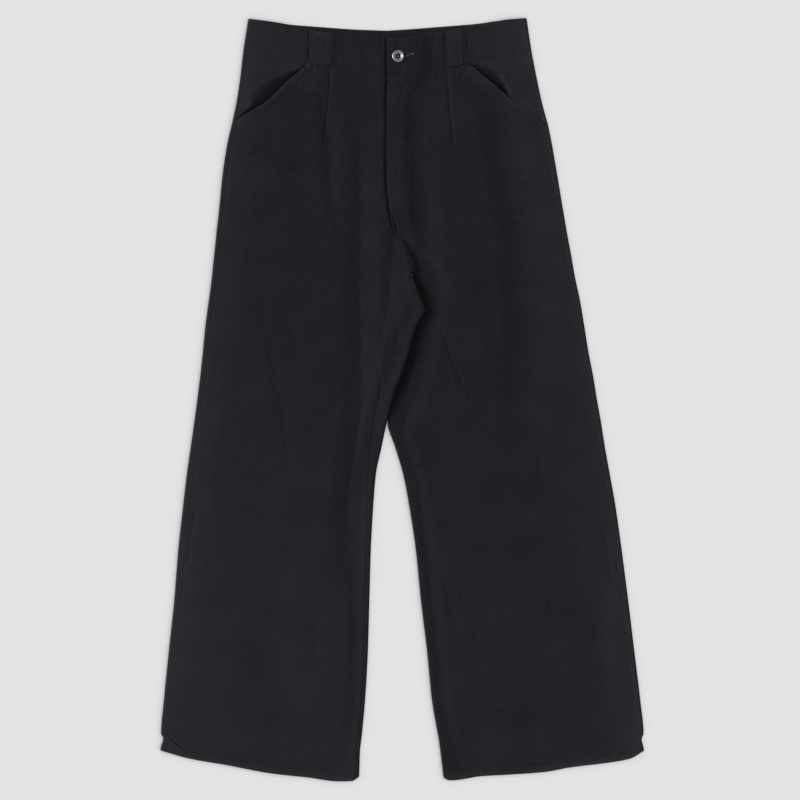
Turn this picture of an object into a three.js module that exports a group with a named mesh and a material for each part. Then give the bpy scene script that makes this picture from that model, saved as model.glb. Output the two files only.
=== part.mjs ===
// High-waisted wide-leg trousers laid flat on their back, seen from above.
// Millimetres. +Y runs to the waist, +Z up from the surface, right and left are the wearer's (right at -X).
import * as THREE from "three";

// Cloth and seams
const CLOTH = 1.0;
const SEAM_GAP = 0.3;
const FOLD_RADIUS = 2.0;
const BACK_Z = CLOTH / 2;
const BACK_FLAT_FROM = { edge: 14, seam: 8 };
const FRONT_Z = 2.8;
const FRONT_LOWEST_Z = 1.9;
const FRONT_PUFF = 2.6;
const PUFF_FROM = { seam: 6, hem: 12, inner: 4 };
const PUFFS_IN = { seam: 70, hem: 90, inner: 26 };
const KNEE_PUFF = { height: 1.7, reach: 130 };
const FOLD_TOP_Z = BACK_Z + 2 * FOLD_RADIUS;
const INNER_SETTLES_IN = 24;
const OUTER_SETTLES_IN = 42;

// Crotch: the right leg's cloth climbs over the left leg's inner fold
const BACK_CLIMB = { from: -26, to: -2.5 };
const FRONT_CLIMB = { from: -54, to: -4 };
const CLIMB_ROUNDING = 0.4;
const CROTCH_Y = 177;
const ABOVE_CROTCH = { from: 20, over: 50 };
const RISE_CLIMBS_IN = 11;
const RISE_FROM_CROTCH = { below: 4, over: 6 };

// Pocket
const POCKET_RISE = 1.3;
const POCKET_FROM = { share: 0.3, y: 330 };
const POCKET_RISES_IN = { share: 0.2, y: 60 };
const HIP_DROP = 2.1;
const HIP_DROPS_IN = 3.5;
const HIP_CLOSED_DROP = 1.2;
const HIP_CLOSES_IN = 4;
const HIP_FLOOR_Z = 1.8;
const HIP_OPENS_IN = 12;
const HIP_WALL_SHARE = { right: 1, left: 0.3 };
const HIP_WALL_BEND = 1.6;
const HIP_CROWN = { right: 2.0, left: 1.2 };
const HIP_CROWN_FROM = { seam: 26, outer: 22 };
const HIP_UNDER_FRONT = 20;
const HIP_COLUMN = 2;
const HIP_TURNS_FROM = { edge: 12, seam: 6 };
const HIP_LOWEST_Y = 392;
const HIP_SEAM_GAP = 0.4;
const MOUTH_TURN = 8;
const MOUTH_EXTRA = 0.7;
const MOUTH_GAPE = { right: 1.2, left: 4.0 };
const MOUTH_GAPE_WIDTH = 26;
const MOUTH_OPEN = { right: { at: 0.4, reach: 0.45 }, left: { at: 0.7, reach: 0.34 } };

// Dart
const DART_DEPTH = 0.6;
const DART_HALF_WIDTH = 4;
const DART_END_Y = 377;
const DART_FADES_IN = 45;

// Fly
const FLY_UNDERLAP = 20;
const FLY_TOP_Y = 310;
const FLY_BOTTOM_Y = 252;
const FLY_RAISE = 1.7;
const FLY_WAIST_RAISE = 1.0;
const FLY_SLOPE = 20;
const FLY_RAISE_FROM_Y = 230;

// Hem
const HEM_EXTRA = 0.8;
const HEM_RAISE = 1.0;
const HEM_HEIGHT = 10.5;
const HEM_CORNER_HEIGHT = 21;
const HEM_CORNER_FROM = 0.85;
const HEM_SETTLES_IN = 10;

// Waistband
const BAND = 2.2;
const BAND_HEIGHT = 46;
const BAND_BACK_Z = BAND / 2;
const BAND_FRONT_Z = 3.9;
const BAND_RADIUS = (BAND_FRONT_Z - BAND_BACK_Z) / 2;
const BAND_UNDERLAP_SHARE = 0.18;
const BAND_LAP_RAISE = 2.5;
const BAND_LAP_SLOPE = { from: 16, over: 22 };
const BAND_CORNER = 4;
const BAND_EDGE = 1.5;
const SEAM_Z = 4.3;
const SEAM_LEVELS_IN = 30;

// Belt loops and button
const LOOP = 1.6;
const LOOP_ARCH = 0.8;
const BUTTON = { x: -6.7, y: 479.4, radius: 8.5, hole: 3.6, height: 2.4, rivet: 0.8 };

// From the middle of the tables to the middle of the whole garment's box
const TO_ORIGIN = { x: 1.24, y: 0.36 };

// The rows that the panels are drawn on, named by the height at which they cross the leg.
const WAIST_ROW = 487;
const WAIST_ROWS_FROM = 415;
const HEM_ROWS_FROM = -420;
const HEM_TOP_ROW = -525;
const HEM_ROW = -535.5;
const ROWS = [
  487, 470, 452, 435, 424, 415, 408, 401, 396.5, 392, 382, 370, 340, 305, 270, 245, 225, 203, 190, 180,
  174.5, 166, 157.5, 139.5, 125.5, 107, 87.5, 66.5, 30, 2, -31.5, -49, -66.5, -105, -150, -220, -300,
  -370, -420, -475, -525, -527.5, -535.5,
];

// One row per section of a half: the outer fold, the inner fold or centre seam, how far in from
// each of them the side seam and the inseam run (a side seam below 0 runs under the fold), the
// radius of the inner fold, how far it is lifted, and whether there is an inner fold.
const SECTION = ["y", "outer", "inner", "side", "inseam", "radius", "lift", "fold"];
const SECTIONS = {
  right: [
    [532.0, -216.5, -22.5, -9.0, 0, 1.0, 0, 0],
    [486.5, -223.5, -22.5, -9.0, 0, 1.0, 0, 0],
    [447.5, -228.0, -22.5, -6.0, 0, 1.0, 0, 0],
    [415.0, -233.0, -23.0, -1.8, 0, 1.0, 0, 0],
    [404.0, -235.3, -23.3, 0.1, 0, 1.0, 0, 0],
    [397.0, -236.9, -23.7, 2.2, 0, 1.0, 0, 0],
    [389.0, -238.5, -24.0, 6.0, 0, 1.0, 0, 0],
    [356.5, -246.0, -24.0, 6.3, 0, 1.0, 0, 0],
    [310.0, -253.0, -23.0, 6.3, 0, 1.0, 0, 0],
    [268.0, -257.0, -19.5, 6.3, 0, 1.0, 0, 0],
    [237.5, -260.5, -13.0, 6.3, 0, 1.0, 1.4, 0],
    [227.5, -261.5, -9.0, 6.3, 0, 1.0, 2.6, 0],
    [203.5, -264.0, 5.5, 6.5, 0, 1.0, 4.3, 0],
    [180.0, -266.5, 11.5, 6.8, 0, 1.0, 4.9, 0],
    [174.5, -267.0, 12.5, 7.0, 1.5, 1.0, 4.9, 1],
    [157.5, -269.0, 19.5, 7.2, 12.6, 2.4, 5.3, 1],
    [139.5, -271.5, 26.0, 7.4, 26.0, 2.6, 4.6, 1],
    [125.5, -273.5, 31.0, 7.6, 37.5, 2.6, 4.4, 1],
    [107.0, -276.0, 21.5, 7.8, 34.5, 2.8, 4.3, 1],
    [87.5, -278.0, 14.5, 8.0, 34.5, 3.0, 4.5, 1],
    [66.5, -280.0, 9.0, 8.2, 33.0, 2.9, 4.6, 1],
    [30.0, -284.0, -3.5, 8.6, 27.0, 2.6, 4.4, 1],
    [2.0, -287.5, -14.0, 9.0, 20.0, 2.4, 4.0, 1],
    [-31.5, -292.0, -22.5, 9.3, 18.0, 2.1, 2.4, 1],
    [-66.5, -297.0, -30.0, 9.6, 16.0, 2.0, 0, 1],
    [-105.5, -302.5, -38.0, 10.0, 10.0, 2.0, 0, 1],
    [-147.5, -307.5, -41.5, 10.5, 7.7, 2.0, 0, 1],
    [-210.5, -314.5, -45.0, 11.0, 5.8, 2.0, 0, 1],
    [-280.5, -320.0, -47.0, 10.5, 5.6, 2.0, 0, 1],
    [-350.5, -327.5, -49.0, 12.0, 5.0, 2.0, 0, 1],
    [-420.5, -334.5, -53.0, 12.0, 4.4, 2.0, 0, 1],
    [-467.0, -338.5, -57.3, 10.0, 4.0, 2.0, 0, 1],
    [-473.5, -335.5, -58.0, 9.5, 4.0, 2.0, 0, 1],
    [-490.0, -339.5, -60.0, 9.0, 4.0, 2.0, 0, 1],
    [-535.5, -343.0, -61.5, 9.0, 4.0, 2.0, 0, 1],
  ],
  left: [
    [532.5, 173.0, -21.0, -9.0, 0, 1.0, 0, 0],
    [486.5, 180.0, -21.5, -9.0, 0, 1.0, 0, 0],
    [447.5, 187.5, -21.5, -6.0, 0, 1.0, 0, 0],
    [415.0, 194.5, -22.5, -2.0, 0, 1.0, 0, 0],
    [400.0, 198.5, -22.5, 0.0, 0, 1.0, 0, 0],
    [391.0, 201.0, -22.5, 2.0, 0, 1.0, 0, 0],
    [381.5, 203.5, -22.5, 5.0, 0, 1.0, 0, 0],
    [356.5, 208.5, -23.0, 7.0, 0, 1.0, 0, 0],
    [310.0, 216.5, -22.5, 8.4, 0, 1.0, 0, 0],
    [268.0, 223.5, -19.0, 7.5, 0, 1.0, 0, 0],
    [227.5, 230.5, -8.5, 6.3, 0, 1.0, 0, 0],
    [203.5, 235.0, 6.0, 6.5, 0, 1.0, 0, 0],
    [180.0, 239.0, 12.5, 6.7, 0, 1.0, 0, 0],
    [174.5, 240.0, 13.5, 6.8, 1.5, 1.0, 0, 1],
    [157.5, 243.5, 11.0, 7.0, 5.0, 1.1, 0, 1],
    [139.5, 247.5, 8.5, 7.4, 9.0, 1.15, 0, 1],
    [107.0, 253.0, 3.5, 8.0, 14.0, 1.15, 0, 1],
    [66.5, 259.5, -3.5, 9.2, 18.0, 1.15, 0, 1],
    [30.0, 266.5, -12.0, 9.8, 20.0, 1.15, 0, 1],
    [2.0, 271.0, -19.0, 9.6, 22.0, 1.3, 0, 1],
    [-31.5, 277.0, -21.5, 9.3, 24.5, 2.0, 0, 1],
    [-66.5, 282.5, -11.0, 9.0, 21.5, 2.0, 0, 1],
    [-105.5, 289.5, 0.5, 8.8, 18.0, 2.0, 0, 1],
    [-147.5, 297.0, 8.5, 8.6, 13.5, 2.0, 0, 1],
    [-210.5, 306.0, 18.0, 8.8, 12.0, 2.0, 0, 1],
    [-280.5, 315.0, 25.0, 9.5, 12.0, 2.0, 0, 1],
    [-350.5, 323.5, 33.5, 9.3, 10.5, 2.0, 0, 1],
    [-420.5, 332.0, 40.5, 9.0, 9.5, 2.0, 0, 1],
    [-467.0, 336.5, 48.5, 8.0, 7.5, 2.0, 0, 1],
    [-475.0, 334.0, 50.0, 7.5, 7.0, 2.0, 0, 1],
    [-490.0, 337.0, 52.0, 7.0, 6.0, 2.0, 0, 1],
    [-535.5, 339.0, 57.5, 7.0, 4.0, 2.0, 0, 1],
  ],
};

// Edges that run across a half, by the share of the way from its centre (0) to its side (1).
const EDGE = ["share", "y"];
const EDGES = {
  right: {
    frontTop: [[0, 505.5], [0.12, 507], [0.3, 509.5], [0.48, 515], [0.63, 520], [0.81, 527.5], [1, 532.3]],
    backTop: [[0, 516], [0.22, 517.5], [0.375, 519.5], [0.51, 521.5], [0.7, 524.5], [0.81, 528],
      [1, 532.3]],
    seam: [[0, 458], [0.27, 461.5], [0.455, 467.5], [0.627, 472.5], [0.83, 481.5], [1, 486.5]],
    hem: [[0, -527], [0.035, -533.5], [0.1, -534], [0.256, -528.5], [0.436, -523], [0.657, -511.5],
      [0.852, -502], [1, -490.5]],
  },
  left: {
    frontTop: [[0, 504], [0.13, 506], [0.27, 510], [0.42, 515], [0.56, 520], [0.71, 525.5],
      [0.88, 531.5], [1, 533.2]],
    backTop: [[0, 516], [0.19, 518.5], [0.42, 522], [0.64, 525.5], [0.81, 530], [1, 533.2]],
    seam: [[0, 451.5], [0.22, 458], [0.39, 462.5], [0.54, 469.5], [0.64, 475.5], [0.81, 483], [1, 487]],
    hem: [[0, -529], [0.03, -532.5], [0.08, -531.5], [0.18, -527], [0.33, -524.5], [0.5, -521],
      [0.63, -514.5], [0.83, -507.5], [0.93, -502], [1, -491]],
  },
};

// The slanting pocket mouth: the share of the half's width that it crosses at each height.
const MOUTH = ["y", "share"];
const MOUTHS = {
  right: [[389, 0.972], [397.5, 0.93], [405.5, 0.876], [415, 0.807], [427, 0.751], [443, 0.683],
    [457, 0.611], [469.5, 0.545]],
  left: [[381.5, 0.979], [388, 0.96], [400.5, 0.912], [413, 0.836], [425.5, 0.773], [439.5, 0.707],
    [452, 0.64], [466, 0.572], [469.5, 0.542]],
};

// How far out from the mouth's line the pocket's inner piece lies low, by height.
const OPENING = ["y", "reach"];
const OPENINGS = {
  right: [[389, 1], [402, 10], [411, 15], [419, 27], [428, 32], [436, 33], [453, 19], [464, 5], [469.5, 1]],
  left: [[408, 0], [420, 3], [430, 10], [440, 19], [450, 27], [457, 33], [464, 26], [469.5, 8]],
};

// The darts' place, as a share of a half's width.
const DART_SHARE = { right: 0.388, left: 0.403 };

// Soft folds of the front: how far each reaches to its left and right, how sharp its bottom is
// from 0 to 1, and the line that it follows with its depths.
const FOLD_LINE = ["y", "x", "depth"];
const FOLDS = [
  { left: 32, right: 40, sharp: 0.6, line: [[419, -60, 0], [377, -60, -1.6], [321, -60, -2.8], [237, -60, -3.5],
    [153, -60, -3.5], [83, -59, -3.5], [-1, -58, -3.4], [-71, -66, -3.3], [-141, -76, -3.2], [-211, -74, -2.4],
    [-281, -72, -1.0], [-351, -71, 0]] },
  { left: 26, right: 30, sharp: 0.2, line: [[433, 27, 0], [405, 27, -1.2], [363, 25, -1.3], [321, 27, -1.7],
    [279, 29, -2.1], [237, 31, -2.3], [195, 31, -2.0], [139, 38, 0]] },
  { left: 20, right: 34, sharp: 0.9, line: [[433, -114, 0], [405, -111, -1.2], [363, -104, -2.0],
    [321, -103, -2.3], [279, -99, -1.6], [237, -90, -0.8], [202, -85, 0]] },
  { left: 30, right: 60, sharp: 0, line: [[405, -141, 0], [370, -139, -1.2], [321, -141, -1.2],
    [279, -139, -1.3], [237, -136, -0.8], [195, -133, 0]] },
  { left: 40, right: 55, sharp: 0, line: [[438, 132, 0], [412, 136, -3.0], [363, 142, -3.5], [321, 148, -3.7],
    [279, 155, -3.2], [237, 165, -3.5], [153, 170, -3.5], [111, 170, -3.3], [55, 167, -2.8], [-1, 166, -2.0],
    [-71, 164, -0.9], [-141, 164, 0]] },
  { left: 60, right: 26, sharp: 0, line: [[-197, 270, 0], [-281, 276, -1.4], [-351, 281, -1.9],
    [-421, 284, -1.8], [-470, 290, 0]] },
  { left: 60, right: 50, sharp: 0, line: [[-281, -206, 0], [-351, -184, -0.8], [-407, -164, -1.2],
    [-449, -158, -1.0], [-477, -155, 0]] },
];

// Near the inner fold the left front stays low where the right leg lies over it.
const LOW_STRIP = { width: 26, from: -60, rises: 60, to: 210, falls: 40 };

// The belt loops: edges of each at the waistband's seam and at its top.
const LOOPS = {
  right: { low: [-130, -98], high: [-130, -95] },
  left: { low: [60, 88], high: [60, 88] },
};

const SIDES = { right: -1, left: 1 };

const mix = (a, b, t) => a + (b - a) * t;
const clamp = (t) => Math.min(1, Math.max(0, t));
const ease = (t) => clamp(t) ** 2 * (3 - 2 * clamp(t));
const steps = (a, b, n) => Array.from({ length: n }, (_, i) => mix(a, b, i / n));

// A smooth reading of a table by its first column that never overshoots its rows.
function smoothTable(names, rows) {
  const sorted = [...rows].sort((a, b) => a[0] - b[0]);
  const at = sorted.map((row) => row[0]);
  const read = names.map((_, c) => {
    const v = sorted.map((row) => row[c]);
    const rise = at.slice(1).map((a, i) => (v[i + 1] - v[i]) / (a - at[i]));
    const slope = v.map((_, i) => {
      const before = rise[Math.max(0, i - 1)];
      const after = rise[Math.min(rise.length - 1, i)];
      return before * after <= 0 ? 0 : (2 * before * after) / (before + after);
    });
    return (i, t, h) =>
      v[i] * (1 + 2 * t) * (1 - t) ** 2 + v[i + 1] * t * t * (3 - 2 * t) +
      h * t * (1 - t) * (slope[i] * (1 - t) - slope[i + 1] * t);
  });
  return (value) => {
    const inside = Math.min(at[at.length - 1], Math.max(at[0], value));
    const next = at.findIndex((a, i) => i > 0 && a >= inside);
    const h = at[next] - at[next - 1];
    const t = (inside - at[next - 1]) / h;
    return Object.fromEntries(names.map((name, c) => [name, read[c](next - 1, t, h)]));
  };
}

function makeHalf(name) {
  const edges = EDGES[name];
  const half = { name, side: SIDES[name], dart: DART_SHARE[name] };
  half.at = smoothTable(SECTION, SECTIONS[name]);
  half.mouth = smoothTable(MOUTH, MOUTHS[name]);
  half.opening = smoothTable(OPENING, OPENINGS[name]);
  [[half.mouthEnd]] = MOUTHS[name];
  [[half.mouthTop]] = MOUTHS[name].slice(-1);
  for (const edge of Object.keys(edges)) {
    const read = smoothTable(EDGE, edges[edge]);
    half[edge] = (share) => read(share).y;
  }
  half.backSeam = (share) => half.backTop(share) - BAND_HEIGHT;
  return half;
}

const HALVES = { right: makeHalf("right"), left: makeHalf("left") };

function shareAt(half, x, y) {
  const row = half.at(y);
  return clamp((x - row.inner) / (row.outer - row.inner));
}

// Where a row's height ends up at a share of the width: the rows fan out to the waist and the hem.
function level(half, row, share, seam) {
  if (row > WAIST_ROWS_FROM) {
    return mix(WAIST_ROWS_FROM, seam(share), (row - WAIST_ROWS_FROM) / (WAIST_ROW - WAIST_ROWS_FROM));
  }
  if (row >= HEM_ROWS_FROM) return row;
  const hem = half.hem(share);
  const nearCorner = ease((share - HEM_CORNER_FROM) / (1 - HEM_CORNER_FROM));
  const hemTop = hem + mix(HEM_HEIGHT, HEM_CORNER_HEIGHT, nearCorner);
  if (row >= HEM_TOP_ROW) {
    return mix(HEM_ROWS_FROM, hemTop, (row - HEM_ROWS_FROM) / (HEM_TOP_ROW - HEM_ROWS_FROM));
  }
  return mix(hemTop, hem, (row - HEM_TOP_ROW) / (HEM_ROW - HEM_TOP_ROW));
}

// The height along Y of a point whose X follows from its height.
function settle(half, row, seam, xOf) {
  let y = Math.max(row, half.hem(0));
  for (let i = 0; i < 8; i += 1) y = level(half, row, shareAt(half, xOf(y), y), seam);
  return y;
}

const FOLD_LINES = FOLDS.map((fold) => ({ ...fold, at: smoothTable(FOLD_LINE, fold.line) }));

// The sum of the folds at a point.
function foldsAt(x, y) {
  let sum = 0;
  for (const { left, right, sharp, at } of FOLD_LINES) {
    const row = at(y);
    const off = x - row.x;
    const t = clamp(Math.abs(off) / (off < 0 ? left : right));
    sum += row.depth * mix(1 - ease(t), (1 - t) ** 2, sharp);
  }
  return sum;
}

function climb(half, x, y, ramp) {
  if (half.side > 0) return 0;
  const over = HALVES.left.at(y).inner;
  const t = clamp((x - over - ramp.from) / (ramp.to - ramp.from));
  return half.at(y).lift * mix(t, ease(t), CLIMB_ROUNDING);
}

const bottomZ = (half, x, y) => BACK_Z + climb(half, x, y, BACK_CLIMB);

const hemNear = (half, x, y) => 1 - ease((y - half.hem(shareAt(half, x, y)) - HEM_HEIGHT) / HEM_SETTLES_IN);

// How far the front puffs up: not at all at its seams, inner folds and hem, and most at the right knee.
function puffAt(half, x, y, fromSeam, fromInner) {
  const strip = LOW_STRIP;
  const low = half.side > 0
    ? strip.width * ease((y - strip.from) / strip.rises) * ease((strip.to - y) / strip.falls)
    : 0;
  const fromHem = y - half.hem(shareAt(half, x, y)) - PUFF_FROM.hem;
  const inside = ease((fromInner - PUFF_FROM.inner - low) / PUFFS_IN.inner);
  const above = ease((y - CROTCH_Y - ABOVE_CROTCH.from) / ABOVE_CROTCH.over);
  const room = ease((fromSeam - PUFF_FROM.seam) / PUFFS_IN.seam) * ease(fromHem / PUFFS_IN.hem) *
    mix(inside, 1, above);
  const knee = half.side < 0 ? KNEE_PUFF.height * Math.exp(-((y / KNEE_PUFF.reach) ** 2)) : 0;
  return (FRONT_PUFF + knee) * room;
}

// The left front climbs along the rise to the right one, which lies on the left leg's fold below.
function riseAt(half, x, y) {
  if (half.side < 0) return 0;
  const near = 1 - ease((x - half.at(y).inner) / RISE_CLIMBS_IN);
  return HALVES.right.at(y).lift * near * ease((y - CROTCH_Y + RISE_FROM_CROTCH.below) / RISE_FROM_CROTCH.over);
}

// The middle of the upper cloth, before the dart, the fly and the pocket shape it.
function topZ(half, x, y) {
  const row = half.at(y);
  const share = shareAt(half, x, y);
  const fromOuter = (row.outer - x) * half.side - FOLD_RADIUS - CLOTH / 2;
  const fromInner = (x - row.inner) * half.side - row.radius - CLOTH / 2;
  const pocket = POCKET_RISE * ease((share - POCKET_FROM.share) / POCKET_RISES_IN.share) *
    ease((y - POCKET_FROM.y) / POCKET_RISES_IN.y);
  const hem = HEM_RAISE * hemNear(half, x, y);
  const fromSeam = half.seam(share) - y;
  const puff = puffAt(half, x, y, fromSeam, fromInner);
  const folded = Math.max(FRONT_LOWEST_Z, FRONT_Z + foldsAt(x, y) + puff);
  const free = folded + climb(half, x, y, FRONT_CLIMB) + pocket + hem;
  const open = mix(SEAM_Z, free, ease(fromSeam / SEAM_LEVELS_IN)) + riseAt(half, x, y);
  const outerSide = mix(FOLD_TOP_Z, open, ease(fromOuter / OUTER_SETTLES_IN));
  const foldTop = bottomZ(half, row.inner + half.side * (row.radius + CLOTH / 2), y) + 2 * row.radius;
  return mix(outerSide, mix(foldTop, outerSide, ease(fromInner / INNER_SETTLES_IN)), row.fold);
}

// A point of the cloth round the outer fold, at a length s from its edge: above 0 on top.
function outerFold(half, y, s, top) {
  const centre = half.at(y).outer - half.side * (FOLD_RADIUS + CLOTH / 2);
  const quarter = (Math.PI / 2) * FOLD_RADIUS;
  if (Math.abs(s) < quarter) {
    const turn = s / FOLD_RADIUS;
    const z = BACK_Z + FOLD_RADIUS * (1 + Math.sin(turn));
    return new THREE.Vector3(centre + half.side * FOLD_RADIUS * Math.cos(turn), y, z);
  }
  const x = centre - half.side * (Math.abs(s) - quarter);
  return new THREE.Vector3(x, y, s > 0 ? top(half, x, y) : bottomZ(half, x, y));
}

function innerFold(half, y, s) {
  const row = half.at(y);
  const centre = row.inner + half.side * (row.radius + CLOTH / 2);
  const quarter = (Math.PI / 2) * row.radius;
  if (Math.abs(s) < quarter) {
    const turn = s / row.radius;
    const z = bottomZ(half, centre, y) + row.radius * (1 + Math.sin(turn));
    return new THREE.Vector3(centre - half.side * row.radius * Math.cos(turn), y, z);
  }
  const x = centre + half.side * (Math.abs(s) - quarter);
  return new THREE.Vector3(x, y, s > 0 ? topZ(half, x, y) : bottomZ(half, x, y));
}

// A side seam's distance from the fold's edge, as a length round the fold.
function sideSeamLength(half, y) {
  const side = half.at(y).side;
  const quarter = (Math.PI / 2) * FOLD_RADIUS;
  const past = Math.abs(side) - FOLD_RADIUS - CLOTH / 2;
  return past > 0 ? Math.sign(side) * (quarter + past) : (side / (FOLD_RADIUS + CLOTH / 2)) * quarter;
}

function flyUnderlap(half, y) {
  return half.side < 0 ? FLY_UNDERLAP * ease((y - FLY_BOTTOM_Y) / (FLY_TOP_Y - FLY_BOTTOM_Y)) : 0;
}

function mouthX(half, y) {
  const row = half.at(y);
  return mix(row.inner, row.outer, half.mouth(y).share);
}

// How far the pocket's mouth gapes at a height, from 0 to 1.
function mouthOpen(half, y) {
  const { at, reach } = MOUTH_OPEN[half.name];
  const along = (y - half.mouthEnd) / (half.mouthTop - half.mouthEnd);
  return ease(1 - Math.abs(along - at) / reach);
}

function frontEnds(half, y) {
  const row = half.at(y);
  const inner = row.inner + half.side * (row.inseam + SEAM_GAP / 2 - flyUnderlap(half, y));
  const onMouth = y >= half.mouthEnd;
  const outer = onMouth ? mouthX(half, y) : row.outer - half.side * (row.side + SEAM_GAP / 2);
  return { inner, outer, dart: mix(row.inner, row.outer, half.dart) };
}

// Along X from the centre seam or inseam: up to the dart, across it, and on to the side.
function frontColumns() {
  const dart = [-DART_HALF_WIDTH, -1.5, 0, 1.5, DART_HALF_WIDTH];
  const toDart = steps(0, 1, 6).map((t) => (e, side) => mix(e.inner, e.dart - side * DART_HALF_WIDTH, t));
  const onDart = dart.map((d) => (e, side) => e.dart + side * d);
  const toSide = [0.25, 0.5, 0.75].map((t) => (e, side) =>
    mix(e.dart + side * DART_HALF_WIDTH, e.outer - side * (MOUTH_TURN + 1), t));
  const turn = [MOUTH_TURN + 1, MOUTH_TURN, 0].map((d) => (e, side) => e.outer - side * d);
  return [...toDart, ...onDart, ...toSide, ...turn];
}

function frontZ(half, x, y) {
  const ends = frontEnds(half, y);
  const dartDepth = DART_DEPTH * ease((y - DART_END_Y + DART_FADES_IN) / DART_FADES_IN);
  const dart = dartDepth * (1 - ease(Math.abs(x - ends.dart) / DART_HALF_WIDTH));
  let z = topZ(half, x, y) - dart;
  if (half.side > 0) {
    const fromEdge = x - half.at(y).inner;
    const near = 1 - ease((fromEdge - FLY_UNDERLAP) / FLY_SLOPE);
    const down = ease((y - FLY_RAISE_FROM_Y) / (FLY_BOTTOM_Y - FLY_RAISE_FROM_Y));
    const waist = 1 - ease((half.seam(0) - y) / SEAM_LEVELS_IN);
    z += near * down * (FLY_RAISE + FLY_WAIST_RAISE * waist);
  }
  if (y > half.mouthEnd) {
    const fromMouth = Math.abs(ends.outer - x);
    z += MOUTH_GAPE[half.name] * mouthOpen(half, y) * (1 - ease(fromMouth / MOUTH_GAPE_WIDTH));
  }
  return z;
}

function frontPanel(half) {
  return ROWS.map((row) =>
    frontColumns().map((xOf, column, all) => {
      const xAt = (y) => xOf(frontEnds(half, y), half.side);
      const y = settle(half, row, half.seam, xAt);
      const x = xAt(y);
      const turned = column >= all.length - 2 && y > half.mouthEnd;
      const hem = row < HEM_TOP_ROW ? HEM_EXTRA : 0;
      return { at: new THREE.Vector3(x, y, frontZ(half, x, y)), within: turned ? MOUTH_EXTRA : hem };
    }));
}

// Round the outer fold from the side seam, along the surface, and round the inner fold to the inseam.
function backColumns(half, y) {
  const row = half.at(y);
  const side = half.side;
  const quarter = (Math.PI / 2) * FOLD_RADIUS;
  const seam = sideSeamLength(half, y) - SEAM_GAP / 2;
  const outerEnd = Math.min(-BACK_FLAT_FROM.edge, seam - BACK_FLAT_FROM.seam);
  const outer = seam > quarter + 0.5
    ? [...steps(seam, quarter, 2), ...steps(quarter, -quarter, 4), ...steps(-quarter, outerEnd, 1)]
    : steps(seam, outerEnd, 7);
  const outerX = outerFold(half, y, outerEnd, topZ).x;
  const over = half.side < 0 ? HALVES.left.at(y).inner + BACK_CLIMB.to : Infinity;
  const climbEnd = half.side < 0 ? Math.min(over, row.inner - 4) : row.inner + 4;
  const climbStart = climbEnd + side * (BACK_CLIMB.to - BACK_CLIMB.from);
  const flat = [...steps(outerX, climbStart, 3), ...steps(climbStart, climbEnd, 4)];
  const points = outer.map((s) => outerFold(half, y, s, topZ));
  points.push(...flat.map((x) => new THREE.Vector3(x, y, bottomZ(half, x, y))));
  if (y > CROTCH_Y) {
    const end = row.inner + side * (SEAM_GAP / 2);
    const rest = [...steps(climbEnd, end, 7), end];
    points.push(...rest.map((x) => new THREE.Vector3(x, y, bottomZ(half, x, y))));
    return points;
  }
  const bend = (Math.PI / 2) * row.radius;
  const end = bend + row.inseam - row.radius - CLOTH / 2 - SEAM_GAP / 2;
  const overTop = Math.min(bend, end * 0.8);
  const start = new THREE.Vector3(climbEnd, y, bottomZ(half, climbEnd, y));
  const inner = [...steps(-bend, overTop, 4), ...steps(overTop, end, 2), end];
  points.push(start, ...inner.map((s) => innerFold(half, y, s)));
  return points;
}

function backPanel(half) {
  return ROWS.map((row) => {
    const count = backColumns(half, row).length;
    return Array.from({ length: count }, (_, column) => {
      const y = settle(half, row, half.backSeam, (at) => backColumns(half, at)[column].x);
      const within = row < HEM_TOP_ROW ? HEM_EXTRA : 0;
      return { at: backColumns(half, y)[column], within };
    });
  });
}

// How far out the pocket's inner piece lies low at a height, and its climb beyond, from 0 to 1.
function pocketWall(half, x, y) {
  const { reach } = half.opening(y);
  const along = ((x - mouthX(half, y)) * half.side) / Math.max(reach, 1);
  const t = clamp((along - 1) / HIP_WALL_SHARE[half.name] + 1);
  return { open: ease(reach / HIP_OPENS_IN), up: 1 - (1 - t) ** HIP_WALL_BEND };
}

// The pocket's inner piece is low where the mouth gapes, and crowned on its way to the side.
function hipZ(half, x, y) {
  const fromOuter = (half.at(y).outer - x) * half.side - FOLD_RADIUS - CLOTH / 2;
  const outward = (x - mouthX(half, y)) * half.side;
  const { open, up } = pocketWall(half, x, y);
  const closed = mix(HIP_DROP, HIP_CLOSED_DROP, ease(outward / HIP_CLOSES_IN));
  const fromSeam = half.seam(shareAt(half, x, y)) - y;
  const room = ease(fromOuter / HIP_CROWN_FROM.outer) * ease(fromSeam / HIP_CROWN_FROM.seam);
  const top = topZ(half, x, y);
  const high = top + HIP_CROWN[half.name] * open * up * room - closed * (1 - open * up);
  const low = mix(high, Math.min(HIP_FLOOR_Z, high), open * (1 - up));
  return mix(top, low, ease(fromOuter / HIP_DROPS_IN));
}

// From under the pocket mouth across the hip and round the outer fold to the side seam.
function hipColumns(half, y) {
  const seam = sideSeamLength(half, y) + HIP_SEAM_GAP - SEAM_GAP / 2;
  const mouth = mouthX(half, y);
  const last = Math.max(HIP_TURNS_FROM.edge, seam + HIP_TURNS_FROM.seam);
  const reach = (outerFold(half, y, last, hipZ).x - mouth) * half.side;
  const outward = [...steps(-HIP_UNDER_FRONT, 0, 2), 0, ...steps(HIP_CLOSES_IN, Math.max(HIP_CLOSES_IN, reach), 4)];
  const inner = outward.map((out, column) => {
    const x = mouth + half.side * Math.min(out, reach - HIP_COLUMN * (outward.length - column));
    return new THREE.Vector3(x, y, hipZ(half, x, y));
  });
  const outer = [...steps(last, seam, 10), seam].map((s) => outerFold(half, y, s, hipZ));
  return [...inner, ...outer];
}

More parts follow.
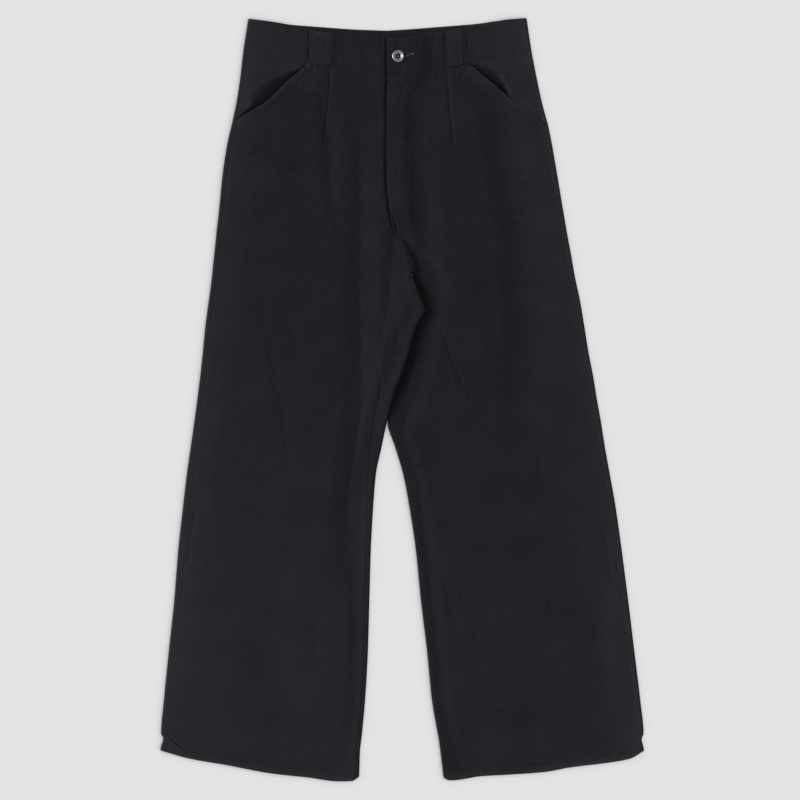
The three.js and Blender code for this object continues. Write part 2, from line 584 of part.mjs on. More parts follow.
function hipPiece(half) {
  return ROWS.filter((row) => row >= HIP_LOWEST_Y).map((row) =>
    hipColumns(half, row).map((_, column) => {
      const y = settle(half, row, half.seam, (at) => hipColumns(half, at)[column].x);
      return { at: hipColumns(half, y)[column], within: 0 };
    }));
}

// The middle of the front of the waistband, which rises where its left end laps over the right one.
function bandZ(half, x) {
  const lap = half.side > 0 ? 1 - ease((x - BAND_LAP_SLOPE.from) / BAND_LAP_SLOPE.over) : 0;
  return BAND_FRONT_Z + BAND_LAP_RAISE * lap;
}

// A point of the waistband: share across the half, k from its seam (0) to its edge (1).
function bandPoint(half, share, k, turn) {
  const inside = clamp(share);
  const back = (1 - Math.sin(turn)) / 2;
  const top = mix(half.frontTop(inside), half.backTop(inside), back);
  const seam = mix(half.seam(inside), half.backSeam(inside), back) + SEAM_GAP;
  const y = mix(seam, top, k);
  const row = half.at(y);
  const straight = mix(row.inner, row.outer - half.side * (BAND_RADIUS + BAND / 2), share);
  const x = straight + half.side * BAND_RADIUS * Math.cos(turn);
  const middle = BAND_BACK_Z + BAND_RADIUS * (1 + Math.sin(turn));
  const raised = turn > 0 ? bandZ(half, x) - BAND_FRONT_Z : 0;
  return new THREE.Vector3(x, y, middle + raised);
}

// The waistband's round: top of a half from its centre, round the side, and back under it.
function bandRound(half) {
  const top = half.side < 0 ? [-BAND_UNDERLAP_SHARE, -BAND_UNDERLAP_SHARE / 2, 0] : [0, 0.02, 0.06];
  const shares = [...top, 0.12, 0.22, 0.3, 0.38, 0.46, 0.54, 0.63, 0.72, 0.81, 0.9];
  const quarter = Math.PI / 2;
  return [
    ...shares.map((share) => ({ half, share, turn: quarter })),
    ...steps(quarter, -quarter, 6).map((turn) => ({ half, share: 1, turn })),
    ...[1, 0.85, 0.68, 0.5, 0.33, 0.17].map((share) => ({ half, share, turn: -quarter })),
  ];
}

function waistband() {
  const right = bandRound(HALVES.right);
  const left = bandRound(HALVES.left).reverse();
  const middle = { half: HALVES.left, share: 0, turn: -Math.PI / 2 };
  const columns = [...right, middle, ...left];
  return [1, 0.92, 0.5, 0.08, 0].map((k) =>
    columns.map(({ half, share, turn }, column) => {
      const at = bandPoint(half, share, k, turn);
      const fromEnd = at.x - HALVES.left.at(at.y).inner;
      if (column > right.length && turn > 0 && k > 0.5 && fromEnd < BAND_CORNER) {
        at.y -= BAND_CORNER - Math.sqrt(BAND_CORNER ** 2 - (BAND_CORNER - Math.max(0, fromEnd)) ** 2);
      }
      const thin = k === 1 ? BAND - BAND_EDGE : 0;
      return { at, within: BAND - CLOTH - thin, half: BAND / 2 - thin / 2 };
    }));
}

function beltLoop(half) {
  const { low, high } = LOOPS[half.name];
  return [0.99, 0.9, 0.7, 0.5, 0.3, 0.1, 0].map((k) =>
    [0, 0.08, 0.35, 0.65, 0.92, 1].map((across) => {
      const x = mix(mix(low[0], low[1], across), mix(high[0], high[1], across), k);
      const share = shareAt(half, x, WAIST_ROW);
      const y = mix(half.seam(share) + SEAM_GAP, half.frontTop(share), k);
      const arch = LOOP_ARCH * Math.sin(Math.PI * k);
      const z = bandZ(half, x) + BAND / 2 + SEAM_GAP + LOOP / 2 + arch;
      return { at: new THREE.Vector3(x, y, z), within: 0, half: LOOP / 2 };
    }));
}

const DOWN_THE_LEG = new THREE.Vector3(0, -1, 0);

// A closed sheet of cloth on a grid of points: its outer face is up at the grid's first column.
function sheet(name, grid, material) {
  const rows = grid.length;
  const columns = grid[0].length;
  const within = (k, count) => Math.min(count - 1, Math.max(0, k));
  const point = (i, j) => grid[within(i, rows)][within(j, columns)].at;
  // At an edge the direction across is read off the curve through the edge's next two points.
  const fromEdge = (i, j, inward) => {
    const near = point(i, j + inward).clone().sub(point(i, j));
    const far = point(i, j + 2 * inward).clone().sub(point(i, j));
    const bend = near.clone().multiplyScalar(far.lengthSq()).addScaledVector(far, -near.lengthSq());
    return bend.multiplyScalar(inward);
  };
  const normalAt = (i, j) => {
    let across = point(i, j + 1).clone().sub(point(i, j - 1));
    if (j === 0) across = fromEdge(i, j, 1);
    if (j === columns - 1) across = fromEdge(i, j, -1);
    return DOWN_THE_LEG.clone().cross(across).normalize();
  };
  const facing = Math.sign(normalAt(Math.floor(rows / 2), 0).z);
  const corners = [];
  for (const face of [1, -1]) {
    grid.forEach((line, i) => line.forEach((spot, j) => {
      const own = spot.half ?? CLOTH / 2;
      const deep = spot.half ? own : own + spot.within;
      const length = face > 0 ? own : -deep;
      corners.push(...spot.at.clone().addScaledVector(normalAt(i, j), facing * length).toArray());
    }));
  }
  const index = [];
  const id = (face, i, j) => face * rows * columns + i * columns + j;
  const quad = (a, b, c, d) => index.push(a, b, c, a, c, d);
  for (let i = 0; i < rows - 1; i += 1) {
    for (let j = 0; j < columns - 1; j += 1) {
      quad(id(0, i, j), id(0, i + 1, j), id(0, i + 1, j + 1), id(0, i, j + 1));
      quad(id(1, i, j), id(1, i, j + 1), id(1, i + 1, j + 1), id(1, i + 1, j));
    }
  }
  const end = columns - 1;
  const foot = rows - 1;
  for (let i = 0; i < foot; i += 1) {
    quad(id(0, i, 0), id(1, i, 0), id(1, i + 1, 0), id(0, i + 1, 0));
    quad(id(0, i, end), id(0, i + 1, end), id(1, i + 1, end), id(1, i, end));
  }
  for (let j = 0; j < end; j += 1) {
    quad(id(0, 0, j), id(0, 0, j + 1), id(1, 0, j + 1), id(1, 0, j));
    quad(id(0, foot, j), id(1, foot, j), id(1, foot, j + 1), id(0, foot, j + 1));
  }
  if (facing < 0) index.reverse();
  const geometry = new THREE.BufferGeometry();
  geometry.setAttribute("position", new THREE.Float32BufferAttribute(corners, 3));
  geometry.setIndex(index);
  geometry.computeVertexNormals();
  return named(name, geometry, material);
}

function named(name, geometry, material) {
  const mesh = new THREE.Mesh(geometry, material);
  mesh.name = name;
  return mesh;
}

const buttonZ = () => bandZ(HALVES.left, BUTTON.x) + BAND / 2 + SEAM_GAP;

function turned(name, profile, material) {
  const points = profile.map(([radius, z]) => new THREE.Vector2(radius, z));
  const geometry = new THREE.LatheGeometry(points, 40);
  geometry.rotateX(Math.PI / 2);
  geometry.translate(BUTTON.x, BUTTON.y, buttonZ());
  return named(name, geometry, material);
}

function buttonRing(material) {
  const { radius, hole, height } = BUTTON;
  const rim = [
    [hole, 0.4], [hole + 0.6, 0], [radius - 1.2, 0], [radius - 0.2, 0.6], [radius, 1.2],
    [radius - 0.4, 1.9], [radius - 1.4, height], [radius - 2.4, height - 0.2], [hole + 0.9, 1.5],
    [hole, 1.1], [hole, 0.4],
  ];
  return turned("button_ring", rim, material);
}

function buttonRivet(material) {
  const { hole, rivet } = BUTTON;
  const disc = [
    [0, 0], [hole - SEAM_GAP, 0], [hole - SEAM_GAP, 0.6], [rivet + 0.5, 0.6], [rivet, 1.2], [0, 1.4],
  ];
  return turned("button_rivet", disc, material);
}

const denim = new THREE.MeshStandardMaterial({ color: 0x24262b, roughness: 0.92, metalness: 0 });
const gunmetal = new THREE.MeshStandardMaterial({ color: 0x4a4a4d, roughness: 0.35, metalness: 1 });

const group = new THREE.Group();
group.name = "trousers";
group.position.set(TO_ORIGIN.x, TO_ORIGIN.y, 0);
for (const half of Object.values(HALVES)) {
  group.add(sheet(`front_${half.name}`, frontPanel(half), denim));
  group.add(sheet(`back_${half.name}`, backPanel(half), denim));
  group.add(sheet(`hip_${half.name}`, hipPiece(half), denim));
  group.add(sheet(`belt_loop_${half.name}`, beltLoop(half), denim));
}
group.add(sheet("waistband", waistband(), denim));
group.add(buttonRing(gunmetal));
group.add(buttonRivet(gunmetal));

export default group;
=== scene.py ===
import math

import bpy
import numpy as np
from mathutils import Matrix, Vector


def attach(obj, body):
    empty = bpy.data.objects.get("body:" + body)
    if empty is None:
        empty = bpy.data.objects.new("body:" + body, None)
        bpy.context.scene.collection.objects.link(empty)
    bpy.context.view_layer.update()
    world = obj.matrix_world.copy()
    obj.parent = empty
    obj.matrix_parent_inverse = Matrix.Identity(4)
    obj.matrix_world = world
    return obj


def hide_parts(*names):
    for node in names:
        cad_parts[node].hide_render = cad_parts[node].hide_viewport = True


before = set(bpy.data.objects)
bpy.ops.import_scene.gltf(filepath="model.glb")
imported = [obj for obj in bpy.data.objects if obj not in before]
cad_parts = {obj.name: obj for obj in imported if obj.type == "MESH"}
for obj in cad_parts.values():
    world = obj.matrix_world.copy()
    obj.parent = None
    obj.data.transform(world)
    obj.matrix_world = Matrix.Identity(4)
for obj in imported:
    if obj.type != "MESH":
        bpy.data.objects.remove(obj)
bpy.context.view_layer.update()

# The garment's sizes are in millimetres, as in its source, and MM turns them into metres.
# +Y runs to the waist, +Z up from the floor, right and left are the wearer's (right at -X).
# A pair such as (330, 390) says from where to where something comes on.
MM = 0.001
TO_ORIGIN = (1.24, 0.36)

# Cloth, seams and folds
CLOTH = 1.0
WARP = 0.00062
WEFT = 0.00074
SEAM_GAP = 0.3
SHARP_ANGLE = 50
SEAM_DIP_WIDTH = 1.8
FOLD_RADIUS = 2.0
BACK_Z = CLOTH / 2
FRONT_Z = 2.8
FRONT_LOWEST_Z = 1.9
FOLD_TOP_Z = BACK_Z + 2 * FOLD_RADIUS
FOLD_SETTLES_IN = 24
OUTER_SETTLES_IN = 42
BACK_CLIMB = (-26, -2.5)
FRONT_CLIMB = (-54, -4)
CLIMB_SOFTNESS = 0.4
CROTCH_Y = 177
SEAM_TO_FOLD_Y = (180, 174.5)
RISE_CLIMBS_IN = 11

# How far the fronts puff up, where they have room for it, and how uneven they are. The left thigh is
# pressed down beside the right leg.
FRONT_PUFF = 2.6
KNEE_PUFF = 1.7
KNEE_REACH = 130
PUFF_BELOW_SEAM = (6, 76)
PUFF_ABOVE_HEM = (12, 102)
PUFF_FROM_INNER = (4, 30)
PUFF_TO_SEAM_Y = (CROTCH_Y + 20, CROTCH_Y + 70)
PRESSED_WIDTH = 26
PRESSED_FROM_Y = (-60, 0)
PRESSED_TO_Y = (210, 170)
SLOW_WAVES = 0.24
SLOW_LENGTH = 80
SHORT_WAVES = 0.05
SHORT_LENGTH = 17
WAVES_END = (3, 13)
CALMER_BELOW_Y = (60, -140)
CREASE_ENDS = 3.2

# Pocket, dart and fly
POCKET_RISE = 1.3
POCKET_RISE_SHARE = (0.3, 0.5)
POCKET_RISE_Y = (330, 390)
POCKET_OPENS_BY = 12
HIP_DROP = 1.25
HIP_DROPS_IN = 3.5
HIP_CLOSED_DROP = 0.5
HIP_CLOSES_IN = 5
HIP_JOINS_WAIST_IN = 12
HIP_FLOOR_Z = 1.8
HIP_WALL_SHARE = {"right": 1.0, "left": 0.3}
HIP_WALL_BEND = 1.6
HIP_CROWN = {"right": 2.0, "left": 1.2}
HIP_CROWN_FROM_SEAM = 26
HIP_CROWN_FROM_SIDE = 22
HIP_UNDER_FRONT = 20
HIP_SEAM_GAP = 0.4
MOUTH_GAPE = {"right": 1.2, "left": 4.0}
MOUTH_GAPE_WIDTH = 26
MOUTH_OPEN = {"right": (0.4, 0.45), "left": (0.7, 0.34)}
MOUTH_TURN = 9
MOUTH_LEAN = 0.72
MOUTH_LENGTH = 1.4
DART_DEPTH = 0.45
DART_HALF_WIDTH = 4
DART_LINE_DEPTH = 0.3
DART_LINE_WIDTH = 1.2
DART_END_Y = 377
DART_FADES_IN = 45
FLY_UNDERLAP = 20
FLY_TOP_Y = 310
FLY_BOTTOM_Y = 252
FLY_RAISE_FROM_Y = 230
FLY_RAISE = 1.7
FLY_WAIST_RAISE = 1.0
FLY_DIP = 2.0
FLY_DIP_WIDTH = 5.0
FLY_SLOPE = 20
FLY_WIDTH = (38, 30)
FLY_RIDGE_AT = 27
RISE_TUCK = 1.4
CROTCH_TUCK = 1.65
CROTCH_TUCK_REACH = 4
SLIT_DEPTH = 2.2
SLIT_FROM_SEAM = 3.2
SLIT_WIDTH = 3.6
SLIT_Y = 241
SLIT_REACH = 20

# Hem, waistband, loops, button and stitches
HEM_RAISE = 1.0
HEM_HEIGHT = 10.5
HEM_CORNER_HEIGHT = 21
HEM_CORNER_FROM = 0.85
HEM_CORNER_DIP = {"right": 1.1, "left": 0.25}
HEM_SETTLES_IN = 10
BAND = 2.2
BAND_HEIGHT = 46
BAND_BACK_Z = BAND / 2
BAND_FRONT_Z = 3.9
BAND_RADIUS = (BAND_FRONT_Z - BAND_BACK_Z) / 2
BAND_UNDERLAP_SHARE = 0.18
BAND_LAP_RAISE = 2.5
BAND_LAP_SLOPE = (16, 22)
BAND_CORNER = 4
BAND_STITCH_IN = 2.2
BAND_GROOVE = 0.22
BAND_GROOVE_WIDTH = 1.4
BAND_SIDE_DROPS_IN = 9
BAND_MIDDLE_X = 22
BAND_MIDDLE_REACH = 112
SEAM_Z = 4.3
SEAM_LEVELS_IN = 30
LOOP_CLOTH = 0.9
LOOP_ARCH = 0.4
LOOP_RAISED = 0.1
LOOP_TACK_DEPTH = 0.4
BUTTON_AT = (-6.7, 479.4)
BUTTON_RADIUS = 8.5
BUTTON_HOLE = 3.6
BUTTON_HEIGHT = 2.4
BUTTON_SEGMENTS = 96
LAP_STITCH_X = -19.3
STITCH_PITCH = 3.1
STITCH_LENGTH = 2.5
STITCH_TURN = 0.07
THREAD_WIDTH = 0.62
HEM_STITCHES = (0.03, 0.965)
INSEAM_STITCHES_Y = (118, -505)
INSEAM_STITCHES_IN = 2
RISE_STITCHES_Y = (256, 182)
RISE_STITCHES_IN = 6.4
FLY_TACKS = ((-8.4, 447.5), (-4.2, 360.5), (-7, 324))
FLY_FOOT = ((-19, 268), (-11, 273))
BUTTONHOLE = (((1.6, 478.4), (12.8, 482.9), 0.9), ((1.6, 484.3), (9.5, 483.9), 0.5))
BUTTONHOLE_BAR = ((13.9, 481.4), (13.9, 484.8))
# Beside each seam of a front: how deep it dips, and its puckers' height, reach, pitch and seed.
SEAMS = {
    "waist": (0.06, -0.35, 9, 12, 33),
    "side": (0.12, 0.2, 7, 14, 35),
    "inseam": (0.25, 0.2, 7, 13, 37),
    "rise": (0.35, 0.12, 7, 12, 39),
}

# How faded the dye is, with painted light and shade in it: below 0 is painted shadow, darker than the dye
LEG_FADE = {"right": 0.5, "left": 0.24}
LEG_FADES_Y = (200, -360)
WAIST_FADE = 0.15
WAIST_FADES_Y = (440, 480)
# Faded edges along the sides; the left half's larger value is also painted light on its outer edge, which the
# key light leaves in shade
SIDE_FADE_AND_LIGHT = {"right": 0.75, "left": 1.15}
SIDE_FADES_IN = 20
THIGH_FADE = 0.2
THIGH_FADES_IN = 75
FLY_FADE = 0.14
FLY_FADES_Y = (262, 270)
FLY_FADES_IN = (22, 14)
UNEVEN_FADE = 0.06
UNEVEN_LENGTH = 90
# Painted shadow in the pockets' gapes, below 0
POCKET_PAINTED_SHADOW = {"right": -0.7, "left": -0.3}
# Painted shadow on the left front beside the right leg's inner edge at the crotch, below 0, and where it
# reaches
CROTCH_PAINTED_SHADOW = -0.2
CROTCH_SHADOW_IN = (21, 5)
CROTCH_SHADOW_FROM_Y = (-50, 0)
CROTCH_SHADOW_TO_Y = (206, 176)
BAND_FADE = 0.05
MOST_FADE = 1.3

# How worn turned edges are, and how far in from them the wear goes; at the pocket mouths this also paints a
# highlight on the raised edge
HEM_WEAR = 0.8
HEM_WEARS_IN = 3.4
MOUTH_WEAR_AND_HIGHLIGHT_IN = 1.1
FLY_WEAR = 0.4
FLY_WEARS_IN = 1.4

# Rows are named by the height at which they cross the leg, and fan out to the waist and the hem.
WAIST_ROW = 487
WAIST_ROWS_FROM = 415
HEM_ROWS_FROM = -420
HEM_TOP_ROW = -525
HEM_ROW = -535.5
SETTLING_ROUNDS = 8

# The outer fold, the inner fold or centre seam, how far in from each the side seam and the inseam
# run, and the radius of the inner fold.
SECTION = ("y", "outer", "inner", "side", "inseam", "radius")
SECTIONS = {
    "right": [
        (532, -216.5, -22.5, -9, 0, 1),
        (486.5, -223.5, -22.5, -9, 0, 1),
        (447.5, -228, -22.5, -6, 0, 1),
        (415, -233, -23, -1.8, 0, 1),
        (404, -235.3, -23.3, 0.1, 0, 1),
        (397, -236.9, -23.7, 2.2, 0, 1),
        (389, -238.5, -24, 6, 0, 1),
        (356.5, -246, -24, 6.3, 0, 1),
        (310, -253, -23, 6.3, 0, 1),
        (268, -257, -19.5, 6.3, 0, 1),
        (237.5, -260.5, -13, 6.3, 0, 1),
        (227.5, -261.5, -9, 6.3, 0, 1),
        (203.5, -264, 5.5, 6.5, 0, 1),
        (180, -266.5, 11.5, 6.8, 0, 1),
        (174.5, -267, 12.5, 7, 1.5, 1),
        (157.5, -269, 19.5, 7.2, 12.6, 2.4),
        (139.5, -271.5, 26, 7.4, 26, 2.6),
        (125.5, -273.5, 31, 7.6, 37.5, 2.6),
        (107, -276, 21.5, 7.8, 34.5, 2.8),
        (87.5, -278, 14.5, 8, 34.5, 3),
        (66.5, -280, 9, 8.2, 33, 2.9),
        (30, -284, -3.5, 8.6, 27, 2.6),
        (2, -287.5, -14, 9, 20, 2.4),
        (-31.5, -292, -22.5, 9.3, 18, 2.1),
        (-66.5, -297, -30, 9.6, 16, 2),
        (-105.5, -302.5, -38, 10, 10, 2),
        (-147.5, -307.5, -41.5, 10.5, 7.7, 2),
        (-210.5, -314.5, -45, 11, 5.8, 2),
        (-280.5, -320, -47, 10.5, 5.6, 2),
        (-350.5, -327.5, -49, 12, 5, 2),
        (-420.5, -334.5, -53, 12, 4.4, 2),
        (-467, -338.5, -57.3, 10, 4, 2),
        (-473.5, -335.5, -58, 9.5, 4, 2),
        (-490, -339.5, -60, 9, 4, 2),
        (-535.5, -343, -61.5, 9, 4, 2),
    ],
    "left": [
        (532.5, 173, -21, -9, 0, 1),
        (486.5, 180, -21.5, -9, 0, 1),
        (447.5, 187.5, -21.5, -6, 0, 1),
        (415, 194.5, -22.5, -2, 0, 1),
        (400, 198.5, -22.5, 0, 0, 1),
        (391, 201, -22.5, 2, 0, 1),
        (381.5, 203.5, -22.5, 5, 0, 1),
        (356.5, 208.5, -23, 7, 0, 1),
        (310, 216.5, -22.5, 8.4, 0, 1),
        (268, 223.5, -19, 7.5, 0, 1),
        (227.5, 230.5, -8.5, 6.3, 0, 1),
        (203.5, 235, 6, 6.5, 0, 1),
        (180, 239, 12.5, 6.7, 0, 1),
        (174.5, 240, 13.5, 6.8, 1.5, 1),
        (157.5, 243.5, 11, 7, 5, 1.1),
        (139.5, 247.5, 8.5, 7.4, 9, 1.15),
        (107, 253, 3.5, 8, 14, 1.15),
        (66.5, 259.5, -3.5, 9.2, 18, 1.15),
        (30, 266.5, -12, 9.8, 20, 1.15),
        (2, 271, -19, 9.6, 22, 1.3),
        (-31.5, 277, -21.5, 9.3, 24.5, 2),
        (-66.5, 282.5, -11, 9, 21.5, 2),
        (-105.5, 289.5, 0.5, 8.8, 18, 2),
        (-147.5, 297, 8.5, 8.6, 13.5, 2),
        (-210.5, 306, 18, 8.8, 12, 2),
        (-280.5, 315, 25, 9.5, 12, 2),
        (-350.5, 323.5, 33.5, 9.3, 10.5, 2),
        (-420.5, 332, 40.5, 9, 9.5, 2),
        (-467, 336.5, 48.5, 8, 7.5, 2),
        (-475, 334, 50, 7.5, 7, 2),
        (-490, 337, 52, 7, 6, 2),
        (-535.5, 339, 57.5, 7, 4, 2),
    ],
}
# How high the right leg's inside lies on the left leg, by height.
LIFTS = [(310, 0), (268, 0), (237.5, 1.4), (227.5, 2.6), (203.5, 4.3), (180, 4.9), (174.5, 4.9), (157.5, 5.3),
         (139.5, 4.6), (125.5, 4.4), (107, 4.3), (87.5, 4.5), (66.5, 4.6), (30, 4.4), (2, 4), (-31.5, 2.4),
         (-66.5, 0), (-105.5, 0)]

# Edges across a half, by the share of the way from its centre (0) to its side (1).
EDGE = ("share", "y")
EDGES = {
    "right": {
        "front_top": [(0, 505.5), (0.12, 507), (0.3, 509.5), (0.48, 515), (0.63, 520), (0.81, 527.5),
                      (1, 532.3)],
        "back_top": [(0, 516), (0.22, 517.5), (0.375, 519.5), (0.51, 521.5), (0.7, 524.5), (0.81, 528),
                     (1, 532.3)],
        "seam": [(0, 458), (0.27, 461.5), (0.455, 467.5), (0.627, 472.5), (0.83, 481.5), (1, 486.5)],
        "hem": [(0, -527), (0.035, -533.5), (0.1, -534), (0.256, -528.5), (0.436, -523), (0.657, -511.5),
                (0.852, -502), (1, -490.5)],
    },
    "left": {
        "front_top": [(0, 504), (0.13, 506), (0.27, 510), (0.42, 515), (0.56, 520), (0.71, 525.5),
                      (0.88, 531.5), (1, 533.2)],
        "back_top": [(0, 516), (0.19, 518.5), (0.42, 522), (0.64, 525.5), (0.81, 530), (1, 533.2)],
        "seam": [(0, 451.5), (0.22, 458), (0.39, 462.5), (0.54, 469.5), (0.64, 475.5), (0.81, 483),
                 (1, 487)],
        "hem": [(0, -529), (0.03, -532.5), (0.08, -531.5), (0.18, -527), (0.33, -524.5), (0.5, -521),
                (0.63, -514.5), (0.83, -507.5), (0.93, -502), (1, -491)],
    },
}
MOUTHS = {
    "right": [(389, 0.972), (397.5, 0.93), (405.5, 0.876), (415, 0.807), (427, 0.751), (443, 0.683),
              (457, 0.611), (469.5, 0.545)],
    "left": [(381.5, 0.979), (388, 0.96), (400.5, 0.912), (413, 0.836), (425.5, 0.773), (439.5, 0.707),
             (452, 0.64), (466, 0.572), (469.5, 0.542)],
}
# How far out from the mouth's line the pocket's inner piece lies low, by height.
POCKET_OPEN = {
    "right": [(389, 1), (402, 10), (411, 15), (419, 27), (428, 32), (436, 33), (453, 19), (464, 5),
              (469.5, 1)],
    "left": [(408, 0), (420, 3), (430, 10), (440, 19), (450, 27), (457, 33), (464, 26), (469.5, 8)],
}
DART_SHARE = {"right": 0.388, "left": 0.403}
LOOPS = {"right": ((-130, -98), (-130, -95)), "left": ((60, 88), (60, 88))}

# The soft folds that the solids have: the width that each has to its left and right, how sharp its
# bottom is from 0 to 1, and the heights, X and depths along it.
FOLDS = [
    (32, 40, 0.6, [(419, -60, 0), (377, -60, -1.6), (321, -60, -2.8), (237, -60, -3.5), (153, -60, -3.5),
                   (83, -59, -3.5), (-1, -58, -3.4), (-71, -66, -3.3), (-141, -76, -3.2), (-211, -74, -2.4),
                   (-281, -72, -1), (-351, -71, 0)]),
    (26, 30, 0.2, [(433, 27, 0), (405, 27, -1.2), (363, 25, -1.3), (321, 27, -1.7), (279, 29, -2.1),
                   (237, 31, -2.3), (195, 31, -2), (139, 38, 0)]),
    (20, 34, 0.9, [(433, -114, 0), (405, -111, -1.2), (363, -104, -2), (321, -103, -2.3), (279, -99, -1.6),
                   (237, -90, -0.8), (202, -85, 0)]),
    (30, 60, 0, [(405, -141, 0), (370, -139, -1.2), (321, -141, -1.2), (279, -139, -1.3), (237, -136, -0.8),
                 (195, -133, 0)]),
    (40, 55, 0, [(438, 132, 0), (412, 136, -3), (363, 142, -3.5), (321, 148, -3.7), (279, 155, -3.2),
                 (237, 165, -3.5), (153, 170, -3.5), (111, 170, -3.3), (55, 167, -2.8), (-1, 166, -2),
                 (-71, 164, -0.9), (-141, 164, 0)]),
    (60, 26, 0, [(-197, 270, 0), (-281, 276, -1.4), (-351, 281, -1.9), (-421, 284, -1.8), (-470, 290, 0)]),
    (60, 50, 0, [(-281, -206, 0), (-351, -184, -0.8), (-407, -164, -1.2), (-449, -158, -1),
                 (-477, -155, 0)]),
]
# Sharper creases that only the cloth's surface has, given the same way.
SHARP_CREASES = [
    (9, 14, 1, [(216, -203, 0), (153, -199, -0.55), (111, -192, -0.6), (55, -183, -0.8), (-1, -172, -0.7),
                (-71, -161, -0.6), (-148, -144, 0)]),
    (20, 32, 0.6, [(258, -6, 0), (237, -10, -1.5), (209, -15, -2), (181, -17, -2.2), (153, -17, -2.3),
                   (125, -21, -2.1), (104, -27, -1.6), (83, -32, -0.8), (62, -37, 0)]),
    (2.6, 4, 1, [(108, 52, 0), (90, 56, -1), (62, 66, -1.5), (31, 78, -1.6), (14, 88, -1.2), (-2, 98, 0)]),
]
# Finer creases, each from an X and Y to another, with its half width and height.
CREASES = [
    (94, 468, 72, 438, 4, -0.6),
    (-86, 300, -70, 330, 5, 0.4),
    (20, 245, 40, 228, 5, 0.4),
    (192, -70, 194, -130, 7, -0.5),
    (-36, 60, -30, 0, 5, -0.4),
    (-246, 330, -252, 250, 5, -0.4),
    (222, 260, 228, 190, 5, -0.5),
    (280, -180, 292, -260, 7, -0.5),
    (-290, -150, -300, -230, 7, -0.5),
    (-120, -300, -130, -420, 12, -0.4),
    (60, -250, 75, -330, 12, -0.4),
]
# Creases of the waistband, given the same way, with Y up from its seam.
BAND_CREASES = [
    (-131.6, 46, -131.6, 2, 1.8, -1.2),
    (58.6, 45, 58.6, -2, 1.8, -1.0),
    (-23.4, 56, -23.4, -8, 2.3, -2.2),
    (46, 44, 38, 18, 3.5, -0.6),
    (38, 18, 40, 0, 3.5, -0.5),
    (-62, 46, -64, 30, 3.5, -0.4),
    (-40, 20, -38, 0, 3.5, -0.35),
    (22, 46, 20, 30, 3, -0.4),
    (-96, 46, -92, 8, 4, -0.35),
    (112, 40, 150, 12, 7, -0.4),
    (-180, 40, -160, 10, 9, -0.35),
]
# The line of the fly's curved stitching.
J_STITCH = [(17.5, 449), (16.5, 430), (14, 405), (10.5, 380), (9, 350), (8.6, 318), (8.2, 296), (6.2, 287),
            (2.5, 282), (-6, 276.5), (-17, 270.5)]

# The size and area in metres of what shows of each cut, laid flat, and how full its edges are.
CUTS = {
    "front": ((0.36, 1.01), 0.244, 0.82),
    "back": ((0.39, 1.02), 0.284, 0.82),
    "hip": ((0.13, 0.1), 0.0071, 1),
    "belt_loop": ((0.032, 0.054), 0.0015, 0.9),
    "waistband": ((0.85, 0.048), 0.0388, 1),
}

# Colours, and where the cloth's lies between dark and light
CLOTH_DARK = (0.0082, 0.0081, 0.0105, 1)
CLOTH_LIGHT = (0.0222, 0.0218, 0.0268, 1)
CLOTH_TONE = -0.515
# Painted shade, which the cloth's colour turns towards where its fade is below 0
CLOTH_PAINTED_SHADE = (0.003, 0.003, 0.004, 1)
CLOTH_WORN = (0.044, 0.043, 0.047, 1)
THREAD_DARK = (0.006, 0.006, 0.008, 1)
THREAD_LIGHT = (0.015, 0.015, 0.018, 1)
WORN_THREAD_DARK = (0.014, 0.014, 0.017, 1)
WORN_THREAD_LIGHT = (0.034, 0.034, 0.038, 1)
PALE_THREAD_DARK = (0.05, 0.05, 0.053, 1)
PALE_THREAD_LIGHT = (0.13, 0.13, 0.135, 1)
METAL_DARK = (0.16, 0.16, 0.168, 1)
METAL_LIGHT = (0.46, 0.46, 0.47, 1)
# Painted shade in the button's hole: a near-black disc where the metal lies in shade
RECESS_PAINTED_SHADE = (0.006, 0.006, 0.008, 1)
FLOOR = (0.8, 0.79, 0.78, 1)

# The picture's middle on the floor, the width that it shows, and how high the camera stands, in metres.
VIEW_CENTRE = (-0.00296, -0.00034)
VIEW_WIDTH = 1.12
CAMERA_HEIGHT = 3.0
SENSOR_WIDTH = 36

# The key light comes from the left and a little above in the picture, softly and low.
KEY_FROM = (-0.92, 0.12, 0.36)
KEY_SOFTNESS = 32
KEY_LIGHT = 4.2
SKY_COLOUR = (0.96, 0.98, 1.0, 1)
SKY_LIGHT = 0.51
# The floor has a broad light from above instead of the low key light.
OVERHEAD_FROM = (0.4, -0.12, 0.91)
OVERHEAD_SOFTNESS = 100
OVERHEAD_LIGHT = 1.66
FLOOR_REACH = 6


def mix(a, b, t):
    return a + (b - a) * t


def ease(t):
    t = np.clip(t, 0, 1)
    return t * t * (3 - 2 * t)


def ramp(value, start, end):
    """0 before the start, 1 beyond the end, and smooth between them, whichever is the greater."""
    return ease((value - start) / (end - start))


class Table:
    """Smooth readings of a table's columns by its first one, which never overshoot its rows."""

    def __init__(self, names, rows):
        self.names = names
        self.values = np.array(sorted(rows), float)
        self.at = self.values[:, 0]
        rise = np.diff(self.values, axis=0) / np.diff(self.at)[:, None]
        before = np.vstack([rise[:1], rise])
        after = np.vstack([rise, rise[-1:]])
        same = before * after > 0
        self.slope = np.where(same, 2 * before * after / np.where(same, before + after, 1), 0)

    def read(self, name, value):
        column = self.names.index(name)
        inside = np.clip(value, self.at[0], self.at[-1])
        i = np.clip(np.searchsorted(self.at, inside) - 1, 0, len(self.at) - 2)
        h = self.at[i + 1] - self.at[i]
        t = (inside - self.at[i]) / h
        low, high = self.values[i, column], self.values[i + 1, column]
        bend = self.slope[i, column] * (1 - t) - self.slope[i + 1, column] * t
        return low * (1 + 2 * t) * (1 - t) ** 2 + high * t * t * (3 - 2 * t) + h * t * (1 - t) * bend


